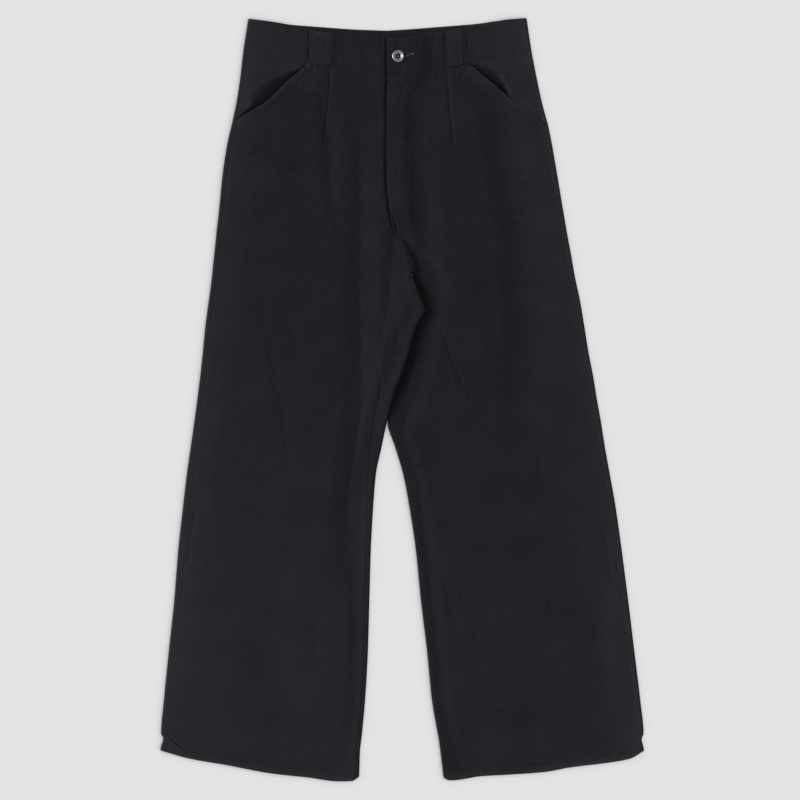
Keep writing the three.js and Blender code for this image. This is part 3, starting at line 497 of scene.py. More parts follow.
class Half:
    """One side of the trousers, with its sections and edges."""

    def __init__(self, name, side):
        self.name = name
        self.side = side
        self.dart = DART_SHARE[name]
        self.sections = Table(SECTION, SECTIONS[name])
        self.edges = {edge: Table(EDGE, rows) for edge, rows in EDGES[name].items()}
        self.mouth_table = Table(("y", "share"), MOUTHS[name])
        self.open_table = Table(("y", "reach"), POCKET_OPEN[name])
        self.mouth_end = MOUTHS[name][0][0]
        self.mouth_top = MOUTHS[name][-1][0]

    def at(self, column, y):
        return self.sections.read(column, y)

    def edge(self, name, share):
        if name == "back_seam":
            return self.edge("back_top", share) - BAND_HEIGHT
        return self.edges[name].read("y", share)

    def share(self, x, y):
        inner = self.at("inner", y)
        return np.clip((x - inner) / (self.at("outer", y) - inner), 0, 1)

    def mouth_open(self, y):
        """How far the pocket's mouth gapes, from 0 to 1."""
        middle, reach = MOUTH_OPEN[self.name]
        up = (y - self.mouth_end) / (self.mouth_top - self.mouth_end)
        return ease(1 - np.abs(up - middle) / reach)

    def mouth_x(self, y):
        share = self.mouth_table.read("share", y)
        return mix(self.at("inner", y), self.at("outer", y), share)


HALVES = {"right": Half("right", -1), "left": Half("left", 1)}
LIFT = Table(("y", "lift"), LIFTS)


def leg_share(y):
    """0 where the halves meet in the centre seam, and 1 where each leg has an inner fold of its own."""
    return ramp(y, *SEAM_TO_FOLD_Y)


def hem_top(half, share):
    corner = ramp(share, HEM_CORNER_FROM, 1)
    return half.edge("hem", share) + mix(HEM_HEIGHT, HEM_CORNER_HEIGHT, corner)


def level(half, row, share, seam):
    """Where a row's height ends up at a share of the width."""
    up = (row - WAIST_ROWS_FROM) / (WAIST_ROW - WAIST_ROWS_FROM)
    waist = mix(WAIST_ROWS_FROM, half.edge(seam, share), up)
    top = hem_top(half, share)
    down = (row - HEM_ROWS_FROM) / (HEM_TOP_ROW - HEM_ROWS_FROM)
    leg = mix(HEM_ROWS_FROM, top, down)
    hem = mix(top, half.edge("hem", share), (row - HEM_TOP_ROW) / (HEM_ROW - HEM_TOP_ROW))
    low = np.where(row >= HEM_TOP_ROW, leg, hem)
    return np.where(row > WAIST_ROWS_FROM, waist, np.where(row >= HEM_ROWS_FROM, row, low))


def settle(half, rows, columns, seam, x_of):
    """The heights of a grid whose X follows from its height."""
    y = np.repeat(np.maximum(rows, half.edge("hem", 0)), columns, axis=1)
    for _ in range(SETTLING_ROUNDS):
        y = level(half, rows, half.share(x_of(y), y), seam)
    return y


def lines_at(table, x, y):
    """The sum of the folds or creases of a table at each point."""
    total = np.zeros(np.broadcast(x, y).shape)
    for x1, y1, x2, y2, half_width, height in table:
        length = math.hypot(x2 - x1, y2 - y1)
        along = ((x - x1) * (x2 - x1) + (y - y1) * (y2 - y1)) / length
        off = np.abs((x - x1) * (y2 - y1) - (y - y1) * (x2 - x1)) / length
        fade = CREASE_ENDS * half_width
        start = ease((along + half_width) / fade)
        end = ease((length + half_width - along) / fade)
        total += height * start * end * (1 - ease(off / half_width))
    return total


def folds_at(folds, x, y):
    """The sum of folds that follow curved lines, at each point."""
    total = np.zeros(np.broadcast(x, y).shape)
    for left, right, sharp, rows in folds:
        line = Table(("y", "x", "depth"), rows)
        off = x - line.read("x", y)
        t = np.clip(np.abs(off) / np.where(off < 0, left, right), 0, 1)
        total += line.read("depth", y) * mix(1 - ease(t), (1 - t) ** 2, sharp)
    return total


def waves(x, y, wavelength, seed, count=9, stretch=1.0):
    """Even, seeded undulation of the given wavelength, from -1 to 1 or so."""
    rng = np.random.default_rng(seed)
    total = 0
    for _ in range(count):
        angle = rng.uniform(0, math.pi)
        size = 2 * math.pi / (wavelength * rng.uniform(0.7, 1.5))
        phase = rng.uniform(0, 2 * math.pi)
        total = total + np.sin(size * (x * math.cos(angle) + y * math.sin(angle) / stretch) + phase)
    return total / math.sqrt(count)


def climb(half, x, y, reach):
    """How far the right leg's cloth rises onto the left one, over a reach in X from its inner edge."""
    if half.side > 0:
        return 0 * x
    start, end = reach
    t = np.clip((x - HALVES["left"].at("inner", y) - start) / (end - start), 0, 1)
    return LIFT.read("lift", y) * mix(t, ease(t), CLIMB_SOFTNESS)


def bottom_z(half, x, y):
    return BACK_Z + climb(half, x, y, BACK_CLIMB)


def top_z(half, x, y):
    """The middle of the upper cloth, before the dart, the fly and the pocket shape it."""
    radius = half.at("radius", y)
    share = half.share(x, y)
    inner, outer = half.at("inner", y), half.at("outer", y)
    from_outer = (outer - x) * half.side - FOLD_RADIUS - CLOTH / 2
    from_inner = (x - inner) * half.side - radius - CLOTH / 2
    below_seam = half.edge("seam", share) - y
    above_hem = y - half.edge("hem", share)
    pocket = POCKET_RISE * ramp(share, *POCKET_RISE_SHARE) * ramp(y, *POCKET_RISE_Y)
    hem = HEM_RAISE * (1 - ease((above_hem - HEM_HEIGHT) / HEM_SETTLES_IN))
    room = ramp(below_seam, *PUFF_BELOW_SEAM) * ramp(above_hem, *PUFF_ABOVE_HEM)
    pressed = PRESSED_WIDTH * ramp(y, *PRESSED_FROM_Y) * ramp(y, *PRESSED_TO_Y) if half.side > 0 else 0
    room = room * mix(ramp(from_inner - pressed, *PUFF_FROM_INNER), 1, ramp(y, *PUFF_TO_SEAM_Y))
    puff = FRONT_PUFF + (KNEE_PUFF * np.exp(-((y / KNEE_REACH) ** 2)) if half.side < 0 else 0)
    z = np.maximum(FRONT_LOWEST_Z, FRONT_Z + folds_at(FOLDS, x, y) + puff * room)
    z = z + climb(half, x, y, FRONT_CLIMB) + pocket + hem
    z = mix(SEAM_Z, z, ease(below_seam / SEAM_LEVELS_IN))
    if half.side > 0:
        rise = LIFT.read("lift", y) * (1 - ease((x - inner) / RISE_CLIMBS_IN))
        z = z + rise * ramp(y, CROTCH_Y - 4, CROTCH_Y + 2)
    outer_side = mix(FOLD_TOP_Z, z, ease(from_outer / OUTER_SETTLES_IN))
    fold_top = bottom_z(half, inner + half.side * (radius + CLOTH / 2), y) + 2 * radius
    inner_side = mix(fold_top, outer_side, ease(from_inner / FOLD_SETTLES_IN))
    return mix(outer_side, inner_side, leg_share(y)) + relief(half, x, y)


def relief(half, x, y):
    """Slow unevenness and fine creases, which fade out at the folds of the cloth."""
    from_outer = (half.at("outer", y) - x) * half.side
    from_inner = (x - half.at("inner", y)) * half.side
    inside = ramp(from_outer, *WAVES_END) * mix(1, ramp(from_inner, *WAVES_END), leg_share(y))
    slow = SLOW_WAVES * (1 - 0.5 * ramp(y, *CALMER_BELOW_Y)) * waves(x, y, SLOW_LENGTH, 3, stretch=2.6)
    short = SHORT_WAVES * waves(x, y, SHORT_LENGTH, 4, stretch=1.6)
    return inside * (slow + short + lines_at(CREASES, x, y) + folds_at(SHARP_CREASES, x, y))


def fold_x(edge, way, radius, s):
    """The X of cloth round a fold that faces a way in X, at a length s from its edge: above 0 on top."""
    centre = edge - way * (radius + CLOTH / 2)
    quarter = math.pi / 2 * radius
    bend = centre + way * radius * np.cos(s / radius)
    return np.where(np.abs(s) < quarter, bend, centre - way * (np.abs(s) - quarter))


def fold_z(half, x, y, s, radius, base, top):
    """The height of cloth round a fold, which goes on as the back below it and as a top cloth above."""
    bend = base + radius * (1 + np.sin(s / radius))
    flat = np.where(s > 0, top(half, x, y), bottom_z(half, x, y))
    return np.where(np.abs(s) < math.pi / 2 * radius, bend, flat)


def outer_x(half, y, s):
    return fold_x(half.at("outer", y), half.side, FOLD_RADIUS, s)


def outer_z(half, x, y, s, top):
    return fold_z(half, x, y, s, FOLD_RADIUS, BACK_Z, top)


def inner_x(half, y, s):
    return fold_x(half.at("inner", y), -half.side, half.at("radius", y), s)


def inner_z(half, x, y, s):
    radius = half.at("radius", y)
    centre = half.at("inner", y) + half.side * (radius + CLOTH / 2)
    return fold_z(half, x, y, s, radius, bottom_z(half, centre, y), top_z)


def side_seam_length(half, y):
    """A side seam's distance from the fold's edge, as a length round the fold."""
    side = half.at("side", y)
    quarter = math.pi / 2 * FOLD_RADIUS
    past = np.abs(side) - FOLD_RADIUS - CLOTH / 2
    round_it = side / (FOLD_RADIUS + CLOTH / 2) * quarter
    return np.where(past > 0, np.sign(side) * (quarter + past), round_it)


def fly_underlap(half, y):
    """How far the right front runs on under the fly's edge."""
    return FLY_UNDERLAP * ramp(y, FLY_BOTTOM_Y, FLY_TOP_Y) if half.side < 0 else 0 * y


def rise_tuck(half, y):
    """How far the left front runs on under the right one below the fly, and most at the crotch."""
    if half.side < 0:
        return 0 * y
    along = ramp(y, FLY_BOTTOM_Y + 6, FLY_BOTTOM_Y - 2) * ramp(y, CROTCH_Y - 3, CROTCH_Y + 1)
    return RISE_TUCK * along + CROTCH_TUCK * groove(y - CROTCH_Y, CROTCH_TUCK_REACH)


def front_ends(half, y):
    """The X of a front's inner edge, its dart and its outer edge."""
    inset = half.at("inseam", y) - fly_underlap(half, y) - rise_tuck(half, y)
    inner = half.at("inner", y) + half.side * inset
    plain = half.at("outer", y) - half.side * half.at("side", y)
    outer = np.where(y >= half.mouth_end, half.mouth_x(y), plain)
    dart = mix(half.at("inner", y), half.at("outer", y), half.dart)
    return inner, dart, outer


def puckers(along, off, width, pitch, seed):
    """Small uneven puckers beside a seam: along it and off it in millimetres."""
    drift = waves(along, 0 * along, 5 * pitch, seed, 6)
    size = 0.6 + 0.4 * waves(along, 0 * along, 9 * pitch, seed + 1, 5)
    fade = np.where(off > 0, np.exp(-off / width), 0)
    return size * fade * np.sin(2 * math.pi * along / pitch + 2.2 * drift)


def groove(off, width):
    """A narrow dip that is 1 on its line and gone at its width."""
    return 1 - ease(np.abs(off) / width)


def seam_dip(off):
    return 1 - ease(off / SEAM_DIP_WIDTH)


def fly_relief(x, y, from_centre):
    """The left front laps over the fly: it is raised, with a soft ridge, and a slit at the lap's foot."""
    left = HALVES["left"]
    down = ramp(y, FLY_RAISE_FROM_Y, FLY_BOTTOM_Y)
    waist = 1 - ease((left.edge("seam", 0.0) - y) / SEAM_LEVELS_IN)
    lap = mix(FLY_UNDERLAP, BAND_LAP_SLOPE[0] - left.at("inner", y), waist)
    near = 1 - ease((from_centre - lap) / mix(FLY_SLOPE, BAND_LAP_SLOPE[1], waist))
    raised = near * down * (FLY_RAISE + FLY_WAIST_RAISE * waist)
    ridge = 0.16 * waves(x, y, 15, 21, stretch=0.45) + 0.2 * groove(from_centre - FLY_RIDGE_AT, 7)
    slit = groove(from_centre - SLIT_FROM_SEAM, SLIT_WIDTH) * groove(y - SLIT_Y, SLIT_REACH)
    return raised + down * ramp(from_centre, *FLY_WIDTH) * ridge - SLIT_DEPTH * slit


def under_fly(x, y):
    """The right front dips where the fly's edge lies on it."""
    from_fly = HALVES["left"].at("inner", y) - x
    beside = (1 - ease(from_fly / FLY_DIP_WIDTH)) * ramp(from_fly, -6, -2)
    return -FLY_DIP * beside * ramp(y, FLY_RAISE_FROM_Y - 8, FLY_RAISE_FROM_Y + 8)


def mouth_relief(half, x, y):
    """The pocket's mouth gapes, and its turned edge has a stitched groove and puckers."""
    from_mouth = np.abs(half.mouth_x(np.maximum(y, half.mouth_end)) - x)
    gape = MOUTH_GAPE[half.name] * half.mouth_open(y) * (1 - ease(from_mouth / MOUTH_GAPE_WIDTH))
    off = from_mouth * MOUTH_LEAN - MOUTH_TURN
    turned = 0.4 * puckers(y * MOUTH_LENGTH, np.abs(off) + 0.1, 7, 9.5, 31) - 0.1 * groove(off, 1.6)
    return gape + turned * ramp(y, half.mouth_end - 6, half.mouth_end)


def beside_seam(name, along, off, shift=0):
    """How far cloth dips at a length off a seam, with the seam's puckers, which may start off it."""
    dip, height, reach, pitch, seed = SEAMS[name]
    return dip * seam_dip(off) + height * puckers(along, off + shift, reach, pitch, seed)


def seam_relief(half, x, y, from_centre):
    """The dips along a front's seams, and the puckers beside them."""
    below = leg_share(y)
    from_seam = half.edge("seam", half.share(x, y)) - y
    from_side = (half.at("outer", y) - x) * half.side - half.at("side", y)
    waist = beside_seam("waist", x, from_seam, 0.1)
    side = beside_seam("side", y, from_side)
    inseam = beside_seam("inseam", y, from_centre - half.at("inseam", y))
    rise = beside_seam("rise", y, from_centre)
    tuck = 0.7 * rise_tuck(half, y) * (1 - ease((from_centre + RISE_TUCK) / 2.6))
    upper = tuck + rise * ramp(y, FLY_BOTTOM_Y + 8, FLY_BOTTOM_Y - 2)
    return -waist - side * ramp(y, half.mouth_end, half.mouth_end - 6) - mix(upper, inseam, below)


def front_z(half, x, y):
    """The middle of a front's cloth."""
    from_dart = x - front_ends(half, y)[1]
    from_centre = (x - half.at("inner", y)) * half.side
    pressed = ramp(y, DART_END_Y - DART_FADES_IN, DART_END_Y)
    z = top_z(half, x, y) - pressed * DART_DEPTH * groove(from_dart, DART_HALF_WIDTH)
    z = z - pressed * DART_LINE_DEPTH * groove(from_dart, DART_LINE_WIDTH)
    z = z + (fly_relief(x, y, from_centre) if half.side > 0 else under_fly(x, y))
    z = z + mouth_relief(half, x, y) + seam_relief(half, x, y, from_centre)
    return z + hem_relief(half, x, y)


def hem_relief(half, x, y):
    """The turned hem: a raised band with a stitched groove at its top and small puckers."""
    share = half.share(x, y)
    over = y - hem_top(half, share)
    corner = ramp(share, 0.72, 0.92)
    dip = mix(0.2, HEM_CORNER_DIP[half.name], corner) * groove(over, mix(1.3, 2.2, corner))
    twist = 0.16 * puckers(x + 0.6 * y, np.abs(over) + 0.1, 7, 12.5, 41)
    return np.where(over < 30, 0.15 * ramp(over, 0.5, -1) - dip + twist, 0)


def spaced(a, b, n):
    return a + (b - a) * np.arange(n) / n


def rows_of(top, bottom):
    """Row heights from the waist to the hem, closer together at the waist, the crotch and the hem."""
    parts = [
        np.arange(487, 480, -0.7), np.arange(480, 376, -2.0), np.arange(376, 250, -3.2),
        np.arange(250, 110, -2.0), np.arange(110, -508, -3.6), np.arange(-508, -521, -1.4),
        np.arange(-521, -528.5, -0.55), np.arange(-528.5, -535.5, -1.1), [-535.5],
    ]
    rows = np.concatenate(parts)
    return rows[(rows <= top) & (rows >= bottom)][:, None]


def front_grid(half):
    """The points of a front, and how worn each is."""
    rows = rows_of(WAIST_ROW, HEM_ROW)
    side = half.side
    near, far = DART_HALF_WIDTH + 1, 12
    # Each column's weights for the inner edge, the dart and the outer edge, and its offset from them.
    columns = [(1 - t, t, 0, -side * near * t) for t in ease_in(46)]
    columns += [(0, 1, 0, side * d) for d in np.arange(-near, near, 0.8)]
    columns += [(0, 1 - t, t, side * mix(near, -far, t)) for t in spaced(0, 1, 34)]
    columns += [(0, 0, 1, -side * d) for d in np.append(np.arange(far, 0.5, -0.8), (0.4, 0))]
    weights = np.array(columns)

    def x_of(y):
        ends = front_ends(half, y)
        return sum(w * end for w, end in zip(weights.T[:3], ends)) + weights.T[3]

    y = settle(half, rows, len(columns), "seam", x_of)
    x = x_of(y)
    return np.stack([x, y, front_z(half, x, y)], -1), front_wear(half, x, y)


def ease_in(n):
    """Shares from 0 towards 1, closer together at the start."""
    t = np.arange(n) / n
    return 0.35 * t + 0.65 * t * t


def front_wear(half, x, y):
    """How worn the dye is: 1 along turned edges, falling off beside them, with a painted highlight at the
    pocket mouths.
    """
    above_hem = y - half.edge("hem", half.share(x, y))
    from_mouth = np.abs(front_ends(half, y)[2] - x) * 0.7
    # The pocket mouth's line is worn edge and painted highlight on the raised edge.
    mouth = np.where(y > half.mouth_end - 3, np.exp(-from_mouth / MOUTH_WEAR_AND_HIGHLIGHT_IN), 0)
    hem = HEM_WEAR * np.exp(-above_hem / HEM_WEARS_IN)
    hem = hem + 0.06 * ramp(above_hem, HEM_HEIGHT + 1, HEM_HEIGHT - 2)
    fly = 0
    if half.side > 0:
        fly = FLY_WEAR * ramp(y, *FLY_FADES_Y) * np.exp(-(x - half.at("inner", y)) / FLY_WEARS_IN)
    return np.clip(mouth + hem + fly, 0, 1)


def fade_and_painted_light_of(half, x, y):
    """How faded the dye is: more down the legs and near the side seams, a little uneven, with painted light
    on the left half's outer edge and painted shadow beside the right leg's inner edge.
    """
    from_outer = np.maximum((half.at("outer", y) - x) * half.side, 0)
    fade = LEG_FADE[half.name] * ramp(y, *LEG_FADES_Y) + WAIST_FADE * ramp(y, *WAIST_FADES_Y)
    fade = fade + UNEVEN_FADE * waves(x, y, UNEVEN_LENGTH, 81)
    fade = fade + SIDE_FADE_AND_LIGHT[half.name] * np.exp(-from_outer / SIDE_FADES_IN)
    fade = fade + THIGH_FADE * np.exp(-((from_outer / THIGH_FADES_IN) ** 2))
    if half.side < 0:
        return np.clip(fade, 0, MOST_FADE)
    from_centre = np.abs(x - half.at("inner", y))
    fade = fade + FLY_FADE * ramp(y, *FLY_FADES_Y) * ramp(from_centre, *FLY_FADES_IN)
    # Painted shadow: the left front darkens beside the right leg's inner edge at the crotch.
    from_right_leg_edge = x - HALVES["right"].at("inner", y)
    crotch_shadow = ramp(from_right_leg_edge, *CROTCH_SHADOW_IN) * ramp(y, *CROTCH_SHADOW_FROM_Y) * ramp(y, *CROTCH_SHADOW_TO_Y)
    return mix(np.clip(fade, 0, MOST_FADE), CROTCH_PAINTED_SHADOW, crotch_shadow)


def hip_fade_and_painted_shadow(half, x, y):
    """The pocket's inner piece's fade, darkened by a painted shadow inside the mouth's gape."""
    reach, up = pocket_wall(half, x, y)
    # Painted shadow, strongest next to the mouth's line and low in the gape.
    painted_shade = ease(reach / POCKET_OPENS_BY) * (1 - up) ** mix(0.3, 0.7, ramp(y, 405, 440))
    return mix(fade_and_painted_light_of(half, x, y), POCKET_PAINTED_SHADOW[half.name], painted_shade)


def back_grid(half):
    """The points of a back, from its side seam round the outer fold to its inner edge, and their wear."""
    rows = rows_of(WAIST_ROW, HEM_ROW)
    side = half.side
    counts = (26, 22, 16, 31)
    outer_t, flat_t, climb_t = (spaced(0, 1, count) for count in counts[:3])
    bend_t, top_t, rest_t = spaced(0, 1, 12), np.arange(19) / 18, np.arange(31) / 30

    def split(grid):
        return np.split(grid, np.cumsum(counts)[:-1], axis=1)

    def outer_ends(y):
        seam = side_seam_length(half, y)
        return seam, np.minimum(-14, seam - 8)

    def climb_ends(y):
        inner = half.at("inner", y)
        over = HALVES["left"].at("inner", y) + BACK_CLIMB[1]
        end = np.minimum(over, inner - 4) if side < 0 else inner + 4
        return end + side * (BACK_CLIMB[1] - BACK_CLIMB[0]), end

    def inner_lengths(y):
        """Lengths round the inner fold, from below it to the inseam on top."""
        radius = half.at("radius", y)
        bend = math.pi / 2 * radius
        end = bend + half.at("inseam", y) - radius - CLOTH / 2
        over = np.minimum(bend, end * 0.8)
        lengths = mix(-bend[:, :12], over[:, :12], bend_t)
        return np.concatenate([lengths, mix(over[:, 12:], end[:, 12:], top_t)], 1)

    def x_of(y):
        at_outer, at_flat, at_climb, at_inner = split(y)
        first = outer_x(half, at_outer, mix(*outer_ends(at_outer), outer_t))
        edge = outer_x(half, at_flat, outer_ends(at_flat)[1])
        flat = mix(edge, climb_ends(at_flat)[0], flat_t)
        rest = mix(climb_ends(at_inner)[1], half.at("inner", at_inner), rest_t)
        last = np.where(at_inner > CROTCH_Y, rest, inner_x(half, at_inner, inner_lengths(at_inner)))
        return np.concatenate([first, flat, mix(*climb_ends(at_climb), climb_t), last], 1)

    y = settle(half, rows, sum(counts), "back_seam", x_of)
    x = x_of(y)
    z = bottom_z(half, x, y)
    first, last = np.s_[:, :counts[0]], np.s_[:, -counts[-1]:]
    z[first] = outer_z(half, x[first], y[first], mix(*outer_ends(y[first]), outer_t), side_top)
    bent = inner_z(half, x[last], y[last], inner_lengths(y[last]))
    z[last] = np.where(y[last] > CROTCH_Y, z[last], bent)
    hem = np.exp(-(y - half.edge("hem", half.share(x, y))) / 1.6)
    return np.stack([x, y, z], -1), np.clip(hem, 0, 1)


def side_top(half, x, y):
    """The upper cloth between the outer fold and the side seam, dipping into the seam."""
    from_seam = half.at("side", y) - (half.at("outer", y) - x) * half.side
    return top_z(half, x, y) - 0.12 * (1 - ease(from_seam / 1.6))


def hip_z(half, x, y):
    """The pocket's inner piece: low under the mouth, and crowned on its way to the side."""
    from_outer = (half.at("outer", y) - x) * half.side - FOLD_RADIUS - CLOTH / 2
    outward = (x - half.mouth_x(y)) * half.side
    below_seam = half.edge("seam", half.share(x, y)) - y
    joined = ease(below_seam / HIP_JOINS_WAIST_IN)
    reach, up = pocket_wall(half, x, y)
    is_open = ease(reach / POCKET_OPENS_BY)
    closed = mix(HIP_DROP, HIP_CLOSED_DROP * joined, ease(outward / HIP_CLOSES_IN))
    crown = HIP_CROWN[half.name] * ease(from_outer / HIP_CROWN_FROM_SIDE)
    crown = crown * ease(below_seam / HIP_CROWN_FROM_SEAM)
    top = top_z(half, x, y)
    high = top + crown * is_open * up - closed * (1 - is_open * up)
    high = high + 0.15 * puckers(x, below_seam + 0.1, 8, 13, 51)
    low = mix(high, np.minimum(HIP_FLOOR_Z, high), is_open * (1 - up))
    low = mix(SEAM_Z - closed, low, joined)
    return mix(top, low, ease(from_outer / HIP_DROPS_IN))


def pocket_wall(half, x, y):
    """How far the pocket's inner piece lies low at a height, and its climb beyond from 0 to 1."""
    reach = half.open_table.read("reach", y)
    share = HIP_WALL_SHARE[half.name]
    t = np.clip(((x - half.mouth_x(y)) * half.side / np.maximum(reach, 1) - 1) / share + 1, 0, 1)
    return reach, 1 - (1 - t) ** HIP_WALL_BEND


def hip_grid(half):
    """The points of a pocket's inner piece, from under the front to the side seam, and their wear."""
    rows = rows_of(WAIST_ROW, half.mouth_end - 3)
    flat_t, outer_t = spaced(0, 1, 44), np.arange(29) / 28
    columns = len(flat_t) + len(outer_t)

    def outer_ends(y):
        seam = side_seam_length(half, y) + HIP_SEAM_GAP
        return np.maximum(12, seam + 6), seam

    def x_of(y):
        at_flat, at_outer = np.split(y, [len(flat_t)], axis=1)
        under = half.mouth_x(at_flat) - half.side * HIP_UNDER_FRONT
        flat = mix(under, outer_x(half, at_flat, outer_ends(at_flat)[0]), flat_t)
        return np.concatenate([flat, outer_x(half, at_outer, mix(*outer_ends(at_outer), outer_t))], 1)

    y = settle(half, rows, columns, "seam", x_of)
    x = x_of(y)
    z = hip_z(half, x, y)
    last = np.s_[:, len(flat_t):]
    z[last] = outer_z(half, x[last], y[last], mix(*outer_ends(y[last]), outer_t), hip_z)
    return np.stack([x, y, z], -1), np.full(x.shape, 0.1)


def band_z(half, x):
    """The middle of the waistband's front, whose left end lies over its right one."""
    if half.side < 0:
        return BAND_FRONT_Z + 0 * x
    return BAND_FRONT_Z + BAND_LAP_RAISE * (1 - ease((x - BAND_LAP_SLOPE[0]) / BAND_LAP_SLOPE[1]))


def near_middle(x):
    """1 between the belt loops, falling to 0 at the sides, where the waistband's seam lies flat."""
    return np.exp(-(((x + BAND_MIDDLE_X) / BAND_MIDDLE_REACH) ** 4))


def band_relief(x, k):
    """Stitch grooves along both edges of the waistband, and soft uneven ripples between them."""
    low, high = k * BAND_HEIGHT, (1 - k) * BAND_HEIGHT
    middle = near_middle(x)
    foot = (1 - middle) * (1 - ease(low / BAND_SIDE_DROPS_IN))
    from_low, from_high = low - BAND_STITCH_IN, high - BAND_STITCH_IN
    stitched = middle * groove(from_low, BAND_GROOVE_WIDTH) + groove(from_high, BAND_GROOVE_WIDTH)
    lines = -BAND_GROOVE * stitched - foot * (BAND_FRONT_Z + BAND / 2 - SEAM_Z - CLOTH / 2)
    small = puckers(x, np.abs(from_low) + 0.1, 9, 11, 61) + puckers(x, np.abs(from_high) + 0.1, 9, 12, 63)
    wide = 0.28 * waves(x, k * 30, 26, 65, stretch=2.6)
    ripples = mix(0.35, 1, middle) * (0.25 * small + wide) + lines_at(BAND_CREASES, x, low)
    return lines + (1 - foot) * ripples


def band_points(half, share, k, turn):
    """Points of the waistband: turn is a quarter circle in front, and minus that at the back."""
    inside = np.clip(share, 0, 1)
    back = (1 - np.sin(turn)) / 2
    top = mix(half.edge("front_top", inside), half.edge("back_top", inside), back)
    seam = mix(half.edge("seam", inside), half.edge("back_seam", inside), back)
    y = mix(seam, top, k)
    straight = mix(half.at("inner", y), half.at("outer", y) - half.side * (BAND_RADIUS + BAND / 2), share)
    x = straight + half.side * BAND_RADIUS * np.cos(turn)
    middle = BAND_BACK_Z + BAND_RADIUS * (1 + np.sin(turn))
    up = ease(turn / (math.pi / 2))
    raised = up * (band_z(half, x) - BAND_FRONT_Z + band_relief(x, k))
    return np.stack(np.broadcast_arrays(x, y, middle + raised), -1)


def waistband_grid():
    """The points of the whole waistband, with its wear and half its thickness."""
    quarter = math.pi / 2
    across, fold, back = 110, 12, 60
    ks = np.array([1, 0.99, 0.97, 0.955, 0.935, 0.91, 0.85, 0.75, 0.65, 0.55, 0.45, 0.35, 0.25, 0.15, 0.09,
                   0.065, 0.045, 0.03, 0.01, 0])[:, None]
    bend = spaced(quarter, -quarter, fold)
    turns = np.concatenate([np.full(across, quarter), bend, np.full(back, -quarter)])
    parts = []
    for name, first in (("right", -BAND_UNDERLAP_SHARE), ("left", 0.0)):
        half = HALVES[name]
        shares = np.concatenate([spaced(first, 1, across), np.ones(fold), spaced(1, 0, back)])
        points = band_points(half, shares, ks, turns)
        if name == "left":
            from_end = points[..., 0] - half.at("inner", points[..., 1])
            short = BAND_CORNER - np.clip(from_end, 0, BAND_CORNER)
            cut = BAND_CORNER - np.sqrt(BAND_CORNER ** 2 - short ** 2)
            points[..., 1] -= np.where((turns > 0) & (ks > 0.5), cut, 0)
            middle = band_points(half, np.zeros(1), ks, np.full(1, -quarter))
            points = np.concatenate([middle, points[:, ::-1]], 1)
        parts.append(points)
    grid = np.concatenate(parts, 1)
    middle = near_middle(grid[..., 0])
    edge = 0.25 * np.exp(-(1 - ks) * BAND_HEIGHT / 1.2)
    rounded = 0.75 * (ks == 1) + 0.25 * (ks == 0.99) + 0.12 * (ks == 0) * middle
    return grid, np.clip(edge + 0.1 * (1 - middle), 0, 1), BAND / 2 - rounded


def loop_z(half, x, k):
    """The middle of a belt loop's cloth, a share k of the way up the waistband."""
    tacked = LOOP_TACK_DEPTH * loop_tacks(k)
    arch = LOOP_ARCH * np.sin(math.pi * np.clip(k, 0, 1))
    return band_z(half, x) + BAND / 2 + LOOP_RAISED + LOOP_CLOTH / 2 + arch - tacked


def loop_tacks(k):
    """1 or less where a belt loop is stitched down."""
    return 0.4 * groove(k - 0.86, 0.13) + 0.35 * groove(k - 0.1, 0.1)


def loop_grid(half):
    """The points of a belt loop, and their wear."""
    low, high = LOOPS[half.name]
    ks = np.linspace(0.99, 0, 40)[:, None]
    across = np.concatenate([[0, 0.02, 0.05], np.linspace(0.08, 0.92, 22), [0.95, 0.98, 1]])
    x = mix(mix(low[0], low[1], across), mix(high[0], high[1], across), ks)
    share = half.share(x, WAIST_ROW)
    y = mix(half.edge("seam", share) + SEAM_GAP, half.edge("front_top", share), ks)
    from_right = (1 - across) * (low[1] - low[0])
    folded = 0.85 * (1 - ease(from_right / 6))
    rough = 0.16 * waves(x, y, 9, 71, stretch=0.8) * (0.8 + 2 * loop_tacks(ks))
    worn = 0.3 * np.exp(-from_right) + 0.4 * np.exp(-(1 - ks) * 50 / 3) + 0.1 * waves(x, y, 7, 73)
    z = loop_z(half, x, ks) - folded + rough
    return np.stack(np.broadcast_arrays(x, y, z), -1), np.clip(worn + 0.1, 0, 1)


def add_mesh(name, points, faces, layers=None, uv=None):
    """A smooth mesh from points in millimetres, riding on the body, moved to the part's origin."""
    mesh = bpy.data.meshes.new(name)
    placed = (points + np.array([TO_ORIGIN[0], TO_ORIGIN[1], 0])) * MM
    mesh.from_pydata(placed.tolist(), [], faces.tolist())
    mesh.polygons.foreach_set("use_smooth", np.ones(len(faces), bool))
    for kind, values in (layers or {}).items():
        layer = mesh.attributes.new(kind, "FLOAT", "POINT")
        layer.data.foreach_set("value", values.astype(np.float32))
    if uv is not None:
        layer = mesh.uv_layers.new(name="cloth")
        layer.data.foreach_set("uv", (uv[faces.ravel()] * MM).astype(np.float32).ravel())
    mesh.set_sharp_from_angle(angle=math.radians(SHARP_ANGLE))
    mesh.update()
    piece = bpy.data.objects.new(name, mesh)
    bpy.context.scene.collection.objects.link(piece)
    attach(piece, "root")
    return piece


def lay_length(grid):
    """Lengths along the cloth across and down a grid, measured from its middle."""
    across = np.linalg.norm(np.diff(grid, axis=1), axis=-1)
    u = np.concatenate([np.zeros((len(grid), 1)), np.cumsum(across, 1)], 1)
    middle = grid.shape[1] // 2
    u = u - u[:, middle:middle + 1] + grid[:, middle:middle + 1, 0]
    return np.stack([u, grid[..., 1]], -1)


